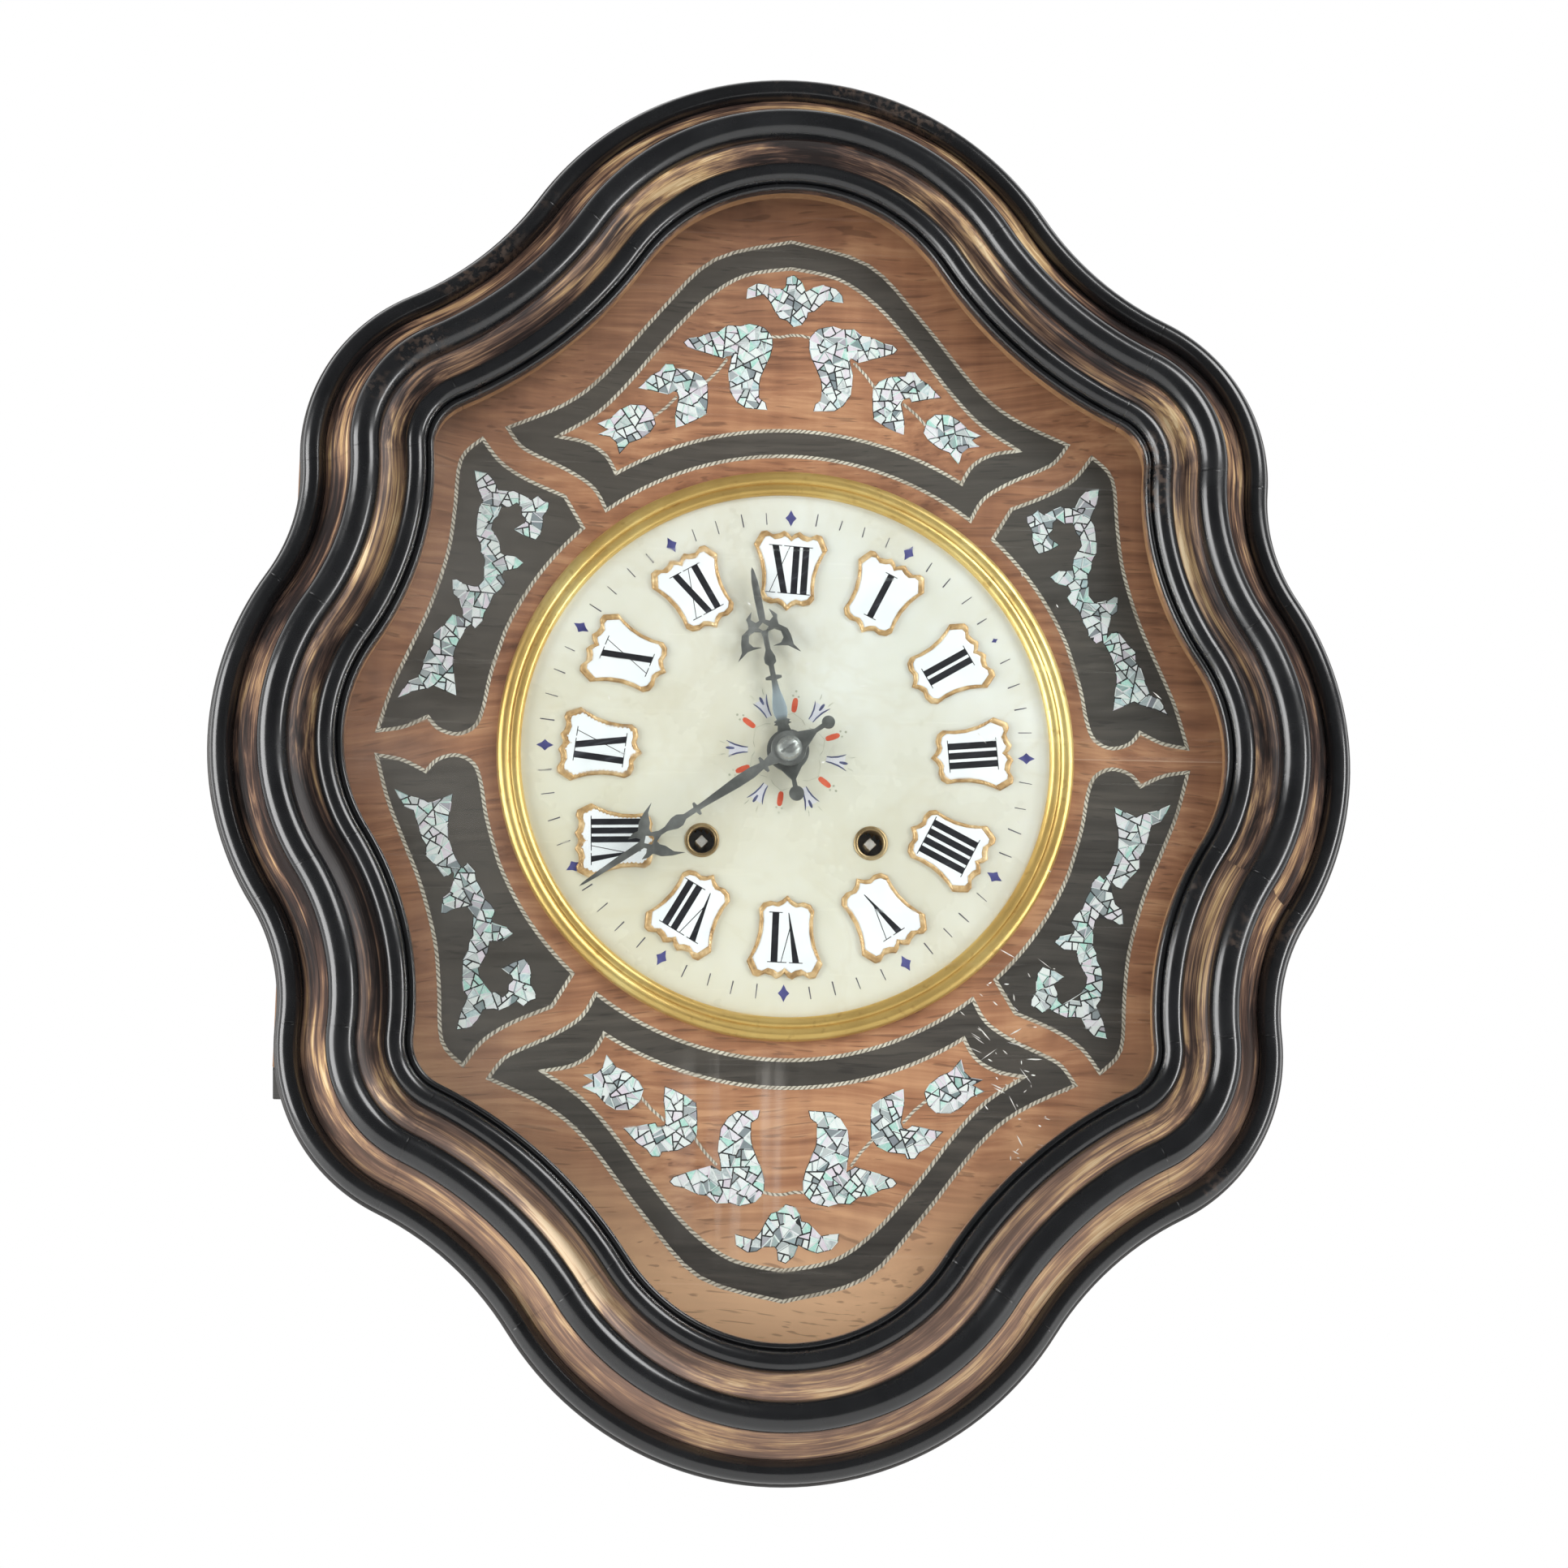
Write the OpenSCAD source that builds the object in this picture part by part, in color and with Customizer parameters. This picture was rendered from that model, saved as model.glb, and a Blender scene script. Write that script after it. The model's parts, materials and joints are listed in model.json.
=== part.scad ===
// Lobed bulls-eye wall clock: glazed door, marquetry panel, alabaster dial and striking movement.
// Millimetres. X to the right, Z up, the wall is the plane Y = 0 and the front faces -Y.
// X = Z = 0 is the centre of the dial.

/* [Lobed door frame] */
// Overall height of the frame
frame_h = 640; // [560:1:780]
// Overall width of the frame
frame_w = 514; // [450:1:620]
// Width of the frame's moulding
frame_band = 61; // [58:0.5:66]
// Radius of the top and bottom lobes
lobe_n_r = 142; // [130:1:150]
// Radius of the side lobes
lobe_e_r = 136; // [125:1:145]
// Radius of the four corner lobes
lobe_d_r = 82; // [76:1:90]
// Distance of a corner lobe's centre from the frame's side
lobe_d_in_x = 116.7; // [110:0.1:124]
// Distance of a corner lobe's centre from the frame's top
lobe_d_in_z = 187.5; // [180:0.1:195]
// Radius of the hollows beside the top and bottom lobes
hollow_n_r = 140; // [120:1:150]
// Radius of the hollows beside the side lobes
hollow_e_r = 80; // [70:1:90]
// Height of the middle rail's seat above the frame's back
crest_seat = 27; // [24:0.5:30]
// Height of the inner rail's seat above the frame's back
inner_seat = 22; // [20:0.5:24]
// Thickness of the glass
glass_t = 2.5; // [2:0.1:3]

/* [Case] */
// How far the case's back edge stays inside the frame on each side
case_side_in = 20.7; // [8:0.1:30]
// Height of the case at the wall
case_h = 310; // [290:1:400]
// How much each side comes in from the wall to the front
case_flare = 10.3; // [5:0.1:24]
// Thickness of the case's sides
side_t = 9; // [7:0.5:12]
// Depth of the case's sides
side_d = 77.9; // [76:0.1:90]
// Thickness of the rectangular front board
front_t = 9; // [7:0.5:12]
// Thickness of the back board
back_t = 10; // [8:0.5:12]
// Thickness of the lobed panel board
panel_t = 10.4; // [9:0.1:14]
// Thickness of the marquetry sheet on it
sheet_t = 1.6; // [1.2:0.1:2]
// How far the panel reaches behind the frame
panel_lap = 10; // [8:0.5:14]

/* [Dial] */
// Radius of the alabaster dial
dial_r = 124; // [112:0.5:126]
// Thickness of the dial
dial_t = 8; // [6:0.5:8]
// Width of the ledge the dial rests on
dial_ledge = 12; // [8:0.5:14]
// How far the bezel reaches over the dial
bezel_over = 4.3; // [3:0.1:6]
// How far the bezel reaches beyond the dial
bezel_out = 6.5; // [4:0.1:10]
// Distance from the dial's edge to the middle of a numeral's plaque
plaque_in = 41; // [38:0.5:44]
// Radius of the winding holes
wind_hole_r = 5.8; // [5:0.1:6.5]

/* [Hands] */
// Angle of the minute hand, clockwise from the top
minute_at = 235.3; // [0:0.1:360]
// Angle of the hour hand, clockwise from the top
hour_at = 348.4; // [0:0.1:360]
// Thickness of the hands
hand_t = 1.2; // [0.8:0.1:1.6]

/* [Movement] */
// Thickness of a plate
plate_t = 2; // [1.5:0.1:2.5]
// Length of the pendulum, from its bending point to the middle of the bob
pendulum_l = 172.6; // [150:0.1:175]
// Radius of the bob
bob_r = 18; // [14:0.5:20]
// Radius of a running shaft's clearance
run = 0.05; // [0.02:0.01:0.08]

/* [Hidden] */
$fn = 96;

// Small gaps: between still pieces, and around moving ones
seat = 0.2;
gap = 0.4;
fit = 0.02;

// Levels along Y, counted from the wall and taken as positive distances in front of it
plate_gap = 38;
front_back = side_d;
panel_back = front_back + front_t;
sheet_back = panel_back + panel_t;
face = sheet_back + sheet_t;
door_back = face + gap;
dial_back = face - dial_t;
strap_t = 2.5;
post_l = 5;
plate_front = front_back - strap_t - post_l;
plate_front_in = plate_front - plate_t;
back_in = plate_front_in - plate_gap;
back_out = back_in - plate_t;

case_w = frame_w - 2 * case_side_in;
opening_r = dial_r - dial_ledge;
bezel_r = dial_r + bezel_out;
bezel_in_r = dial_r - bezel_over;
plaque_ring = dial_r - plaque_in;

// Several levels measured from one
function levels(base, offsets) = [for (o = offsets) base + o];

// Helpers: plane work is drawn in X and Z, then given its depth along Y
module slab(a, b) {
  translate([0, -min(a, b), 0]) rotate([90, 0, 0]) linear_extrude(abs(b - a)) children();
}
module rod(p, a, b, r) {
  translate([p[0], -min(a, b), p[1]]) rotate([90, 0, 0]) cylinder(h = abs(b - a), r = r);
}
module cone(p, a, b, ra, rb) {
  translate([p[0], -a, p[1]]) rotate([90, 0, 0]) cylinder(h = b - a, r1 = ra, r2 = rb);
}
module bar_x(x0, x1, y, z, r) {
  translate([x0, -y, z]) rotate([0, 90, 0]) cylinder(h = x1 - x0, r = r);
}
module block(x, y, z) {
  translate([x[0], -y[1], z[0]]) cube([x[1] - x[0], y[1] - y[0], z[1] - z[0]]);
}
function polar(r, a) = [r * cos(a), r * sin(a)];
function wrap(a) = ((a % 360) + 360) % 360;
function bearing(p, q) = atan2(q[1] - p[1], q[0] - p[0]);

// The point at distance rp from p and rq from q, on the left (side 1) or right (side -1) of p to q
function meet(p, rp, q, rq, side) =
  let (d = norm(q - p), a = (rp * rp - rq * rq + d * d) / (2 * d), h = sqrt(rp * rp - a * a),
    u = (q - p) / d)
  p + a * u + side * h * [-u[1], u[0]];

// Smooth curve through a few points, n steps between each two
function curve_at(p, i, t) =
  let (a = p[max(i - 1, 0)], b = p[i], c = p[i + 1], d = p[min(i + 2, len(p) - 1)])
  0.5 * ((2 * b) + (c - a) * t + (2 * a - 5 * b + 4 * c - d) * t * t + (3 * b - a - 3 * c + d) * t * t * t);
function curve(p, n = 4) = [for (i = [0:len(p) - 2], k = [0:n - 1]) curve_at(p, i, k / n)];

// The lobed outline: eight lobes, counter-clockwise from the right, with a hollow after each
diag = [frame_w / 2 - lobe_d_in_x, frame_h / 2 - lobe_d_in_z];
east = [frame_w / 2 - lobe_e_r, 0];
north = [0, frame_h / 2 - lobe_n_r];
lobe_c = [east, diag, north, [-diag[0], diag[1]], -east, -diag, -north, [diag[0], -diag[1]]];
lobe_r = [for (i = [0:7]) i % 2 == 1 ? lobe_d_r : (i % 4 == 0 ? lobe_e_r : lobe_n_r)];
hollow_r = [for (i = [0:7]) (i % 4 == 0 || i % 4 == 3) ? hollow_e_r : hollow_n_r];
hollow_c = [for (i = [0:7])
  let (j = (i + 1) % 8)
  meet(lobe_c[i], lobe_r[i] + hollow_r[i], lobe_c[j], lobe_r[j] + hollow_r[i], -1)];
lobe_from = [for (i = [0:7]) bearing(lobe_c[i], hollow_c[(i + 7) % 8])];
lobe_turn = [for (i = [0:7]) wrap(bearing(lobe_c[i], hollow_c[i]) - lobe_from[i])];
hollow_from = [for (i = [0:7]) bearing(hollow_c[i], lobe_c[(i + 1) % 8])];
hollow_turn = [for (i = [0:7]) wrap(bearing(hollow_c[i], lobe_c[i]) - hollow_from[i])];

// The outline moved in by u, as points about 6 degrees apart
function steps(turn) = max(3, ceil(turn / 6));
function lobed(u) = [for (i = [0:7]) each concat(
  [for (k = [0:steps(lobe_turn[i]) - 1])
    lobe_c[i] + polar(lobe_r[i] - u, lobe_from[i] + lobe_turn[i] * k / steps(lobe_turn[i]))],
  [for (k = [0:steps(hollow_turn[i]) - 1])
    hollow_c[i] + polar(hollow_r[i] + u, hollow_from[i] + hollow_turn[i] *
      (1 - k / steps(hollow_turn[i])))])];

// A moulding swept round the outline in sixteen glued lengths, a hair (in degrees) apart:
// its section is drawn as distance in from the edge, height
glue_line = 0.04;
module turned(c, from, turn) {
  translate([c[0], -door_back, c[1]]) rotate([90, 0, 0]) rotate([0, 0, from + glue_line / 2])
    rotate_extrude(angle = turn - glue_line) children();
}
module sweep_lobes() {
  for (i = [0:7]) {
    turned(lobe_c[i], lobe_from[i], lobe_turn[i]) translate([lobe_r[i], 0]) mirror([1, 0]) children();
    turned(hollow_c[i], hollow_from[i], hollow_turn[i]) translate([hollow_r[i], 0]) children();
  }
}

// Sections of the frame
rail_out_in = 12;
rail_mid = [24.5, 38];
rail_inn_out = frame_band - 12.5;
bead_w = 2.8;
lip_w = 5.5;
outer_seat = 10;
glass_back_h = 16.2;
glass_front_h = glass_back_h + glass_t;
cove_n = 6;
module base_section() {
  cove = [for (k = [1:cove_n]) let (t = k / cove_n)
    [rail_out_in + (rail_mid[0] - rail_out_in) * t, outer_seat + 1 +
      (crest_seat - outer_seat - 2) * (1 - cos(90 * t))]];
  hollow = [for (k = [0:cove_n]) let (t = k / cove_n)
    [rail_mid[1] + (rail_inn_out - rail_mid[1]) * t,
     crest_seat - 1.7 + (inner_seat - crest_seat + 2.7) * t - 1.6 * sin(180 * t)]];
  polygon(concat([[0, 0], [0, 8], [0.6, 9.4], [1.8, outer_seat], [rail_out_in, outer_seat],
    [rail_out_in, outer_seat + 1]],
    cove, [[rail_mid[0], crest_seat], [rail_mid[1], crest_seat]], hollow,
    [[rail_inn_out, inner_seat], [frame_band, inner_seat], [frame_band, glass_front_h + 0.1],
     [frame_band - lip_w, glass_front_h + 0.1], [frame_band - lip_w, 0]]));
}

// A half-round strip from u0 to u1 on a seat, with a short straight foot
module strip_section(u0, u1, base, foot) {
  r = (u1 - u0) / 2;
  translate([u0, base]) square([2 * r, foot]);
  translate([u0 + r, base + foot]) difference() {
    circle(r);
    translate([-r - 1, -r - 1]) square([2 * r + 2, r + 1]);
  }
}

module frame_base() { color("saddlebrown") sweep_lobes() base_section(); }
module outer_rail() { color([0.12, 0.12, 0.14]) sweep_lobes() strip_section(1.9, rail_out_in - 0.1,
  outer_seat, 1); }
module middle_rail() { color([0.12, 0.12, 0.14]) sweep_lobes() strip_section(rail_mid[0], rail_mid[1],
  crest_seat, 1); }
module inner_rail() {
  color([0.12, 0.12, 0.14]) sweep_lobes() union() {
    strip_section(rail_inn_out, frame_band - bead_w - 0.2, inner_seat, 2);
    strip_section(frame_band - bead_w, frame_band, inner_seat, 1);
    translate([rail_inn_out + 1, inner_seat]) square([frame_band - rail_inn_out - 2, 1]);
  }
}
module door_glass() {
  color([0.8, 0.9, 0.9, 0.3]) slab(door_back + glass_back_h, door_back + glass_front_h)
    polygon(lobed(frame_band - lip_w + gap));
}
module glass_beads() {
  color("saddlebrown") sweep_lobes()
    translate([frame_band - lip_w, glass_back_h - 6]) square([lip_w - 0.8, 6 - seat]);
}

// Case: four flared boards with mitred corners
wall_half = [case_w / 2, case_h / 2];
front_half = [case_w / 2 - case_flare, case_h / 2 - case_flare];
module flared_board(a, b) {
  // a and b are the signs of the board's two corners, seen from the front
  function corner(s, half) = [[s[0] * half[0], s[1] * half[1]], [s[0] * (half[0] - side_t),
    s[1] * (half[1] - side_t)]];
  wall = concat(corner(a, wall_half), corner(b, wall_half));
  front = concat(corner(a, front_half), corner(b, front_half));
  polyhedron(
    points = concat([for (p = wall) [p[0], 0, p[1]]], [for (p = front) [p[0], -side_d, p[1]]]),
    faces = [[0, 2, 3, 1], [4, 5, 7, 6], [0, 4, 6, 2], [1, 3, 7, 5], [0, 1, 5, 4], [2, 6, 7, 3]]);
}
module case_top() { color("dimgray") flared_board([-1, 1], [1, 1]); }
module case_right() { color("dimgray") flared_board([1, 1], [1, -1]); }
module case_bottom() { color("dimgray") flared_board([1, -1], [-1, -1]); }
module case_left() { color("dimgray") flared_board([-1, -1], [-1, 1]); }

// Half size of the case's inside at a level, and of its outside
function inside(y) = wall_half - [1, 1] * (side_t + case_flare * y / side_d);
function outside(y) = wall_half - [1, 1] * case_flare * y / side_d;

plate_hole = [0, 118];
hang_w = 40;
hang_h = 30;
hang_t = 2.5;
hang_r = 4;
hook_room_r = 9;
hook_room_back = 2;
hang_screw_at = [14, 0];
hang_screw_r = 1.5;
hang_hole_r = 1.6;
hang_sink = [3, 1.4];
module back_board() {
  half = inside(back_t) - [1, 1] * seat;
  color("burlywood") difference() {
    block([-half[0], half[0]], [0, back_t], [-half[1], half[1]]);
    block([-hang_w / 2 - seat, hang_w / 2 + seat], [-1, hang_t],
      [plate_hole[1] - hang_h / 2 - seat, plate_hole[1] + hang_h / 2 + seat]);
    rod(plate_hole, -1, back_t - hook_room_back, hook_room_r);
  }
}
module hanging_plate() {
  color("goldenrod") difference() {
    block([-hang_w / 2, hang_w / 2], [0, hang_t], [plate_hole[1] - hang_h / 2, plate_hole[1] + hang_h / 2]);
    rod(plate_hole, -1, hang_t + 1, hang_r);
    for (s = [-1, 1]) {
      rod(plate_hole + s * hang_screw_at, -1, hang_t + 1, hang_hole_r);
      rod(plate_hole + s * hang_screw_at, -1, hang_sink[1], hang_sink[0]);
    }
  }
}
module case_front() {
  half = outside(front_back) - [1, 1];
  color("saddlebrown") difference() {
    block([-half[0], half[0]], [front_back, panel_back], [-half[1], half[1]]);
    rod([0, 0], front_back - 1, panel_back + 1, opening_r);
  }
}
panel_in = frame_band - panel_lap;
module panel_board() {
  color([0.2, 0.15, 0.12]) difference() {
    slab(panel_back, sheet_back) polygon(lobed(panel_in));
    rod([0, 0], panel_back - 1, sheet_back + 1, opening_r);
    rod([0, 0], dial_back, sheet_back + 1, dial_r + gap);
  }
}

// Marquetry: six ebonised fields let into the sheet
field_r = bezel_r + 8;
band_w = 12.2;
// The outlines are drawn for this field_r; near the bezel they follow it, at outline_reach they stay put
drawn_r = 138.5;
outline_reach = 200;
function set_out(p) =
  let (r = norm(p), t = min(1, max(0, (outline_reach - r) / (outline_reach - drawn_r))))
  p * (r + t * (field_r - drawn_r)) / r;
field_t = 0.8;
band_top = [[0, 242.8], [36, 232.7], [61, 206.4], [86, 175], [104, 160], [129.8, 148]];
band_side = [[129.8, 148], [124, 140], [117, 135.6], [102, 128.7], [90, 120.7], [84, 110.5]];
band_top_in = [[0, 229.6], [22, 225.3], [40, 213], [58, 193], [76, 170], [90, 155.5], [107, 144.5]];
band_side_in = [[107, 144.5], [94.5, 142.3], [85, 136.6], [79.5, 127.3]];
kidney_out = [[141, 142.5], [150.5, 132], [152.5, 108.5], [155, 88], [162, 63.5], [171, 42], [178, 25],
  [183.5, 5.5]];
kidney_foot = [[183.5, 5.5], [172, 7.5], [161.5, 12.5]];
kidney_heel = [[161.5, 12.5], [156.5, 7], [148, 4.8], [140.5, 8.5], [137, 17], [134, 33], [128, 53]];
kidney_top = [[94.5, 102], [103, 116.3], [120, 123.5], [132.5, 131.5], [141, 142.5]];
function arc_to(r, a0, a1, n) = [for (k = [0:n]) polar(r, a0 + (a1 - a0) * k / n)];
function half_band(top, side, r) =
  let (last = side[len(side) - 1])
  concat(curve(top), curve(side), arc_to(r, atan2(last[1], last[0]), 90, 12));
function mirrored_band(half) = concat([for (i = [0:len(half) - 1]) half[i]],
  [for (i = [len(half) - 2:-1:1]) [-half[i][0], half[i][1]]]);
band_outer = mirrored_band(half_band(band_top, band_side, drawn_r));
band_inner = mirrored_band(half_band(band_top_in, band_side_in, drawn_r + band_w));
kidney = concat(curve(kidney_out), curve(kidney_foot), curve(kidney_heel),
  arc_to(drawn_r, atan2(53, 128), atan2(102, 94.5), 8),
  curve([for (i = [1:4]) kidney_top[i]]), [kidney_top[4]]);
module fields() {
  for (s = [1, -1]) difference() {
    polygon([for (p = band_outer) let (q = set_out(p)) [q[0], s * q[1]]]);
    polygon([for (p = band_inner) let (q = set_out(p)) [q[0], s * q[1]]]);
  }
  for (sx = [1, -1], sz = [1, -1]) polygon([for (p = kidney) let (q = set_out(p)) [sx * q[0], sz * q[1]]]);
}
module marquetry_panel() {
  color("sienna") difference() {
    slab(sheet_back, face) polygon(lobed(panel_in));
    rod([0, 0], sheet_back - 1, face + 1, dial_r + gap);
    slab(face - field_t, face + 1) fields();
  }
}
module inlay_fields() { color([0.3, 0.3, 0.28]) slab(face - field_t, face) fields(); }

// Dial
wind_at = [38, -41];
strike_at = [-wind_at[0], wind_at[1]];
centre_hole_r = 5.5;
grommet_t = 1.2;
grommet_lip = 2;
grommet_lip_t = 0.8;
module dial_plate() {
  color([0.88, 0.86, 0.78]) difference() {
    rod([0, 0], dial_back, face, dial_r);
    rod([0, 0], dial_back - 1, face + 1, centre_hole_r);
    for (p = [wind_at, strike_at]) rod(p, dial_back - 1, face + 1, wind_hole_r + grommet_t);
  }
}
module dial_grommets() {
  color("goldenrod") for (p = [wind_at, strike_at]) difference() {
    union() {
      rod(p, dial_back + 1, face, wind_hole_r + grommet_t);
      rod(p, face, face + grommet_lip_t, wind_hole_r + grommet_lip);
    }
    rod(p, dial_back, face + 2, wind_hole_r);
  }
}
bezel_round = 3.1;
bezel_bead = 1.9;
bezel_step = 2;
module bezel() {
  color("goldenrod") translate([0, -face, 0]) rotate([90, 0, 0]) rotate_extrude() difference() {
    union() {
      translate([bezel_in_r, 0]) square([bezel_r - bezel_in_r, bezel_step]);
      translate([bezel_r - bezel_round, bezel_step]) circle(bezel_round);
      translate([bezel_in_r + bezel_bead + 0.4, bezel_step - 0.2]) circle(bezel_bead);
    }
    translate([0, -2 * bezel_round]) square([bezel_r + 1, 2 * bezel_round]);
  }
}
// One plaque: points to the right of its axis, from its inner point out to the middle of its top
plaque_half = [
  [0, -17.8], [2.2, -15.6], [4.6, -14.4], [7.5, -15], [10.6, -14], [12.4, -11.4], [11.9, -7],
    [12.2, -1], [13.6, 5],
  [15.4, 9.4], [17, 12.4], [15.6, 15.4], [14, 18.6], [11.6, 19.2], [8.6, 17.6], [5.6, 18.4],
    [3.6, 19.8], [1.6, 18.8], [0, 17.2]
];
plaque_rim = 0.87;
plaque_t = 1.8;
enamel_t = 1.4;
function plaque(k) = let (h = [for (p = plaque_half) p * k])
  concat(h, [for (i = [len(h) - 2:-1:1]) [-h[i][0], h[i][1]]]);
// How far each plaque has turned clockwise on its pins, from the one at 12 on round, and which have slipped
plaque_turns = [3.5, -3.2, -0.5, -5, -2.5, -3.7, 1.9, 0.5, 28.5, 7, -9, 0];
plaque_slips = [for (i = [0:11]) i == 2 ? [1.3, -0.7] : i == 8 ? [1.1, 2.9] : [0, 0]];
module each_plaque() {
  for (i = [0:11]) rotate(-30 * i) translate([0, plaque_ring] + plaque_slips[i]) rotate(-plaque_turns[i])
    children();
}
module plaque_frames() {
  color([0.7, 0.55, 0.35]) slab(face, face + plaque_t) each_plaque() difference() {
    polygon(plaque(1));
    polygon(plaque(plaque_rim));
  }
}
module plaque_enamels() {
  color("white") slab(face, face + enamel_t) each_plaque() polygon(plaque(plaque_rim));
}

// Door hinge: axis behind the frame's right lobe, lift-off knuckles on a stile
stile_x = [frame_w / 2 - panel_in + 1, outside(front_back)[0] - 2];
hinge_x = stile_x[1] + 8;
knuckle_r = 3;
hinge_y = door_back - knuckle_r - 0.3;
hinge_pin_r = 1.3;
leaf_t = 1.6;
hinge_zs = [-42, 42];
knuckle_l = 12;
stile_h = 60;
stile_front = face - seat;
module hinge_stile() { color("saddlebrown") block(stile_x, [panel_back, stile_front],
  [-stile_h, stile_h]); }
leaf_screw_r = 1.4;
leaf_screw_z = 7;
leaf_screw_y = panel_back + 4.5;
leaf_screw_l = 10;
knuckle_gap = 0.2;
door_screw_r = 1.3;
module case_hinge_leaves() {
  color("goldenrod") for (z = hinge_zs) {
    difference() {
      block([stile_x[1], stile_x[1] + leaf_t], [panel_back + 1, stile_front - 0.5],
        [z - knuckle_l, z + knuckle_l]);
      for (s = [-1, 1]) bar_x(stile_x[1] - 1, stile_x[1] + 5, leaf_screw_y, z + leaf_screw_z * s,
        leaf_screw_r + fit);
    }
    block([stile_x[1] + leaf_t - 0.1, hinge_x], [hinge_y - leaf_t / 2, hinge_y + leaf_t / 2],
      [z - knuckle_l, z - knuckle_gap]);
    translate([hinge_x, -hinge_y, z - knuckle_l])
      cylinder(h = knuckle_l - knuckle_gap, r = knuckle_r);
    translate([hinge_x, -hinge_y, z - knuckle_l]) cylinder(h = 2 * knuckle_l - 1, r = hinge_pin_r);
  }
}
door_leaf_x = [hinge_x + 1, hinge_x + 11];
module door_hinge_leaves() {
  color("goldenrod") for (z = hinge_zs) difference() {
    union() {
      block(door_leaf_x, [door_back - seat / 2 - leaf_t, door_back - seat / 2], [z, z + knuckle_l]);
      translate([hinge_x, -hinge_y, z]) cylinder(h = knuckle_l, r = knuckle_r);
    }
    translate([hinge_x, -hinge_y, z - 1]) cylinder(h = knuckle_l + 2, r = hinge_pin_r + run);
    for (dz = door_screw_dz) rod([hinge_x + door_screw_dx, z + dz],
      door_back - 4, door_back + 1, door_screw_r + fit);
  }
}
door_screw_l = 8;
door_screw_dx = 7;
door_screw_dz = [3, 9];
latch_screw_dz = [-3, 3];

// Latch: a hook on the case's left side, parked upright, and a pin on the door
hook_y = 70;
hook_x = [-outside(hook_y)[0] - 5.4, -outside(hook_y)[0] - 3.9];
latch_pin_y = 92;
latch_reach = latch_pin_y - hook_y;
pin_r = 1.5;
lug_x = hook_x[0] - 4.8;
bracket_l = 10;
bracket_half = 6;
latch_screw_x = lug_x - 5.7;
hook_hub_r = 3.6;
hook_arm = [1.9, 4.9];
hook_claw_x = -2.5;
hook_claw_t = 3.1;
hook_bore_r = 1.6;
module latch_bracket() {
  color("goldenrod") {
    difference() {
      block([lug_x - bracket_l, lug_x + leaf_t], [door_back - seat / 2 - leaf_t, door_back - seat / 2],
        [-bracket_half, bracket_half]);
      for (dz = latch_screw_dz) rod([latch_screw_x, dz], door_back - 4, door_back + 1, door_screw_r + fit);
    }
    block([lug_x, lug_x + leaf_t], [latch_pin_y - 4, door_back - seat / 2 - leaf_t],
      [1 - bracket_half, bracket_half - 1]);
    bar_x(lug_x + leaf_t, hook_x[1] + 1.5, latch_pin_y, 0, pin_r);
  }
}
module latch_hook() {
  color("goldenrod") translate([hook_x[0], -hook_y, 0]) rotate([90, 0,
    90]) linear_extrude(hook_x[1] - hook_x[0])
    difference() {
      union() {
        circle(hook_hub_r);
        translate([hook_arm[0], 0])
          square([hook_arm[1] - hook_arm[0], latch_reach + pin_r + gap + hook_claw_t]);
        translate([hook_claw_x, latch_reach + pin_r + gap]) square([hook_arm[1] - hook_claw_x, hook_claw_t]);
      }
      circle(hook_bore_r + run);
    }
}

// Screws: a shank and a head
// (its head's inner face on level y, its shank going forward)
module screw_y(p, y, r, l) {
  translate([p[0], -y, p[1]]) rotate([90, 0, 0]) rotate_extrude()
    polygon([[0, -1.2], [1.6 * r, -1.2], [1.9 * r, -0.6], [1.9 * r, 0], [r, 0], [r, l], [0, l]]);
}
module screw_x(x, y, z, r, l) {
  translate([x, -y, z]) rotate([0, 90, 0]) rotate_extrude()
    polygon([[0, -l], [r, -l], [r, 0], [1.9 * r, 0], [1.9 * r, 0.5], [1.6 * r, 1], [0, 1]]);
}
board_screws = [[190, 40], [190, -40], [-190, 40], [-190, -40], [60, 112], [-60, 112], [60, -112],
  [-60, -112]];
strap_zs = [58, -69];
strap_half = 122;
strap_w = 12;
strap_screw_x = 117;
strap_screw_r = 1.6;
strap_screw_l = 9;
pillar_x = 66;
pillar_r = 4;
board_screw_r = 1.8;
hang_screw_l = 8;
// The latch hook's screw: its point, shank, collar, bearing and head as radius and distance out
hook_screw_in = 6;
hook_screw_shank_r = 2;
hook_screw_collar = [2.6, 6.2, 9.6];
hook_screw_head = [3.2, 11.8, 13.2];
module case_screws() {
  color("darkgoldenrod") {
    for (p = board_screws) screw_y(p, front_back, board_screw_r, front_t + 7);
    for (z = strap_zs, s = [-1, 1])
      screw_y([s * strap_screw_x, z], front_back - strap_t, strap_screw_r, strap_screw_l);
    for (s = [-1, 1]) screw_y(plate_hole + s * hang_screw_at, hang_sink[1], hang_screw_r, hang_screw_l);
    for (z = hinge_zs, s = [-1, 1]) screw_x(stile_x[1] + leaf_t, leaf_screw_y, z + leaf_screw_z * s,
      leaf_screw_r, leaf_screw_l);
    translate([-outside(hook_y)[0] + hook_screw_in, -hook_y, 0]) rotate([0, -90, 0]) rotate_extrude()
      polygon([[0, 0], [hook_screw_shank_r, 0], [hook_screw_shank_r, hook_screw_collar[1]],
        [hook_screw_collar[0], hook_screw_collar[1]], [hook_screw_collar[0], hook_screw_collar[2]],
        [hook_bore_r, hook_screw_collar[2]], [hook_bore_r, hook_screw_head[1]],
        [hook_screw_head[0], hook_screw_head[1]], [hook_screw_head[0], hook_screw_head[2]],
        [0, hook_screw_head[2] + 0.4]]);
  }
}
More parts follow.
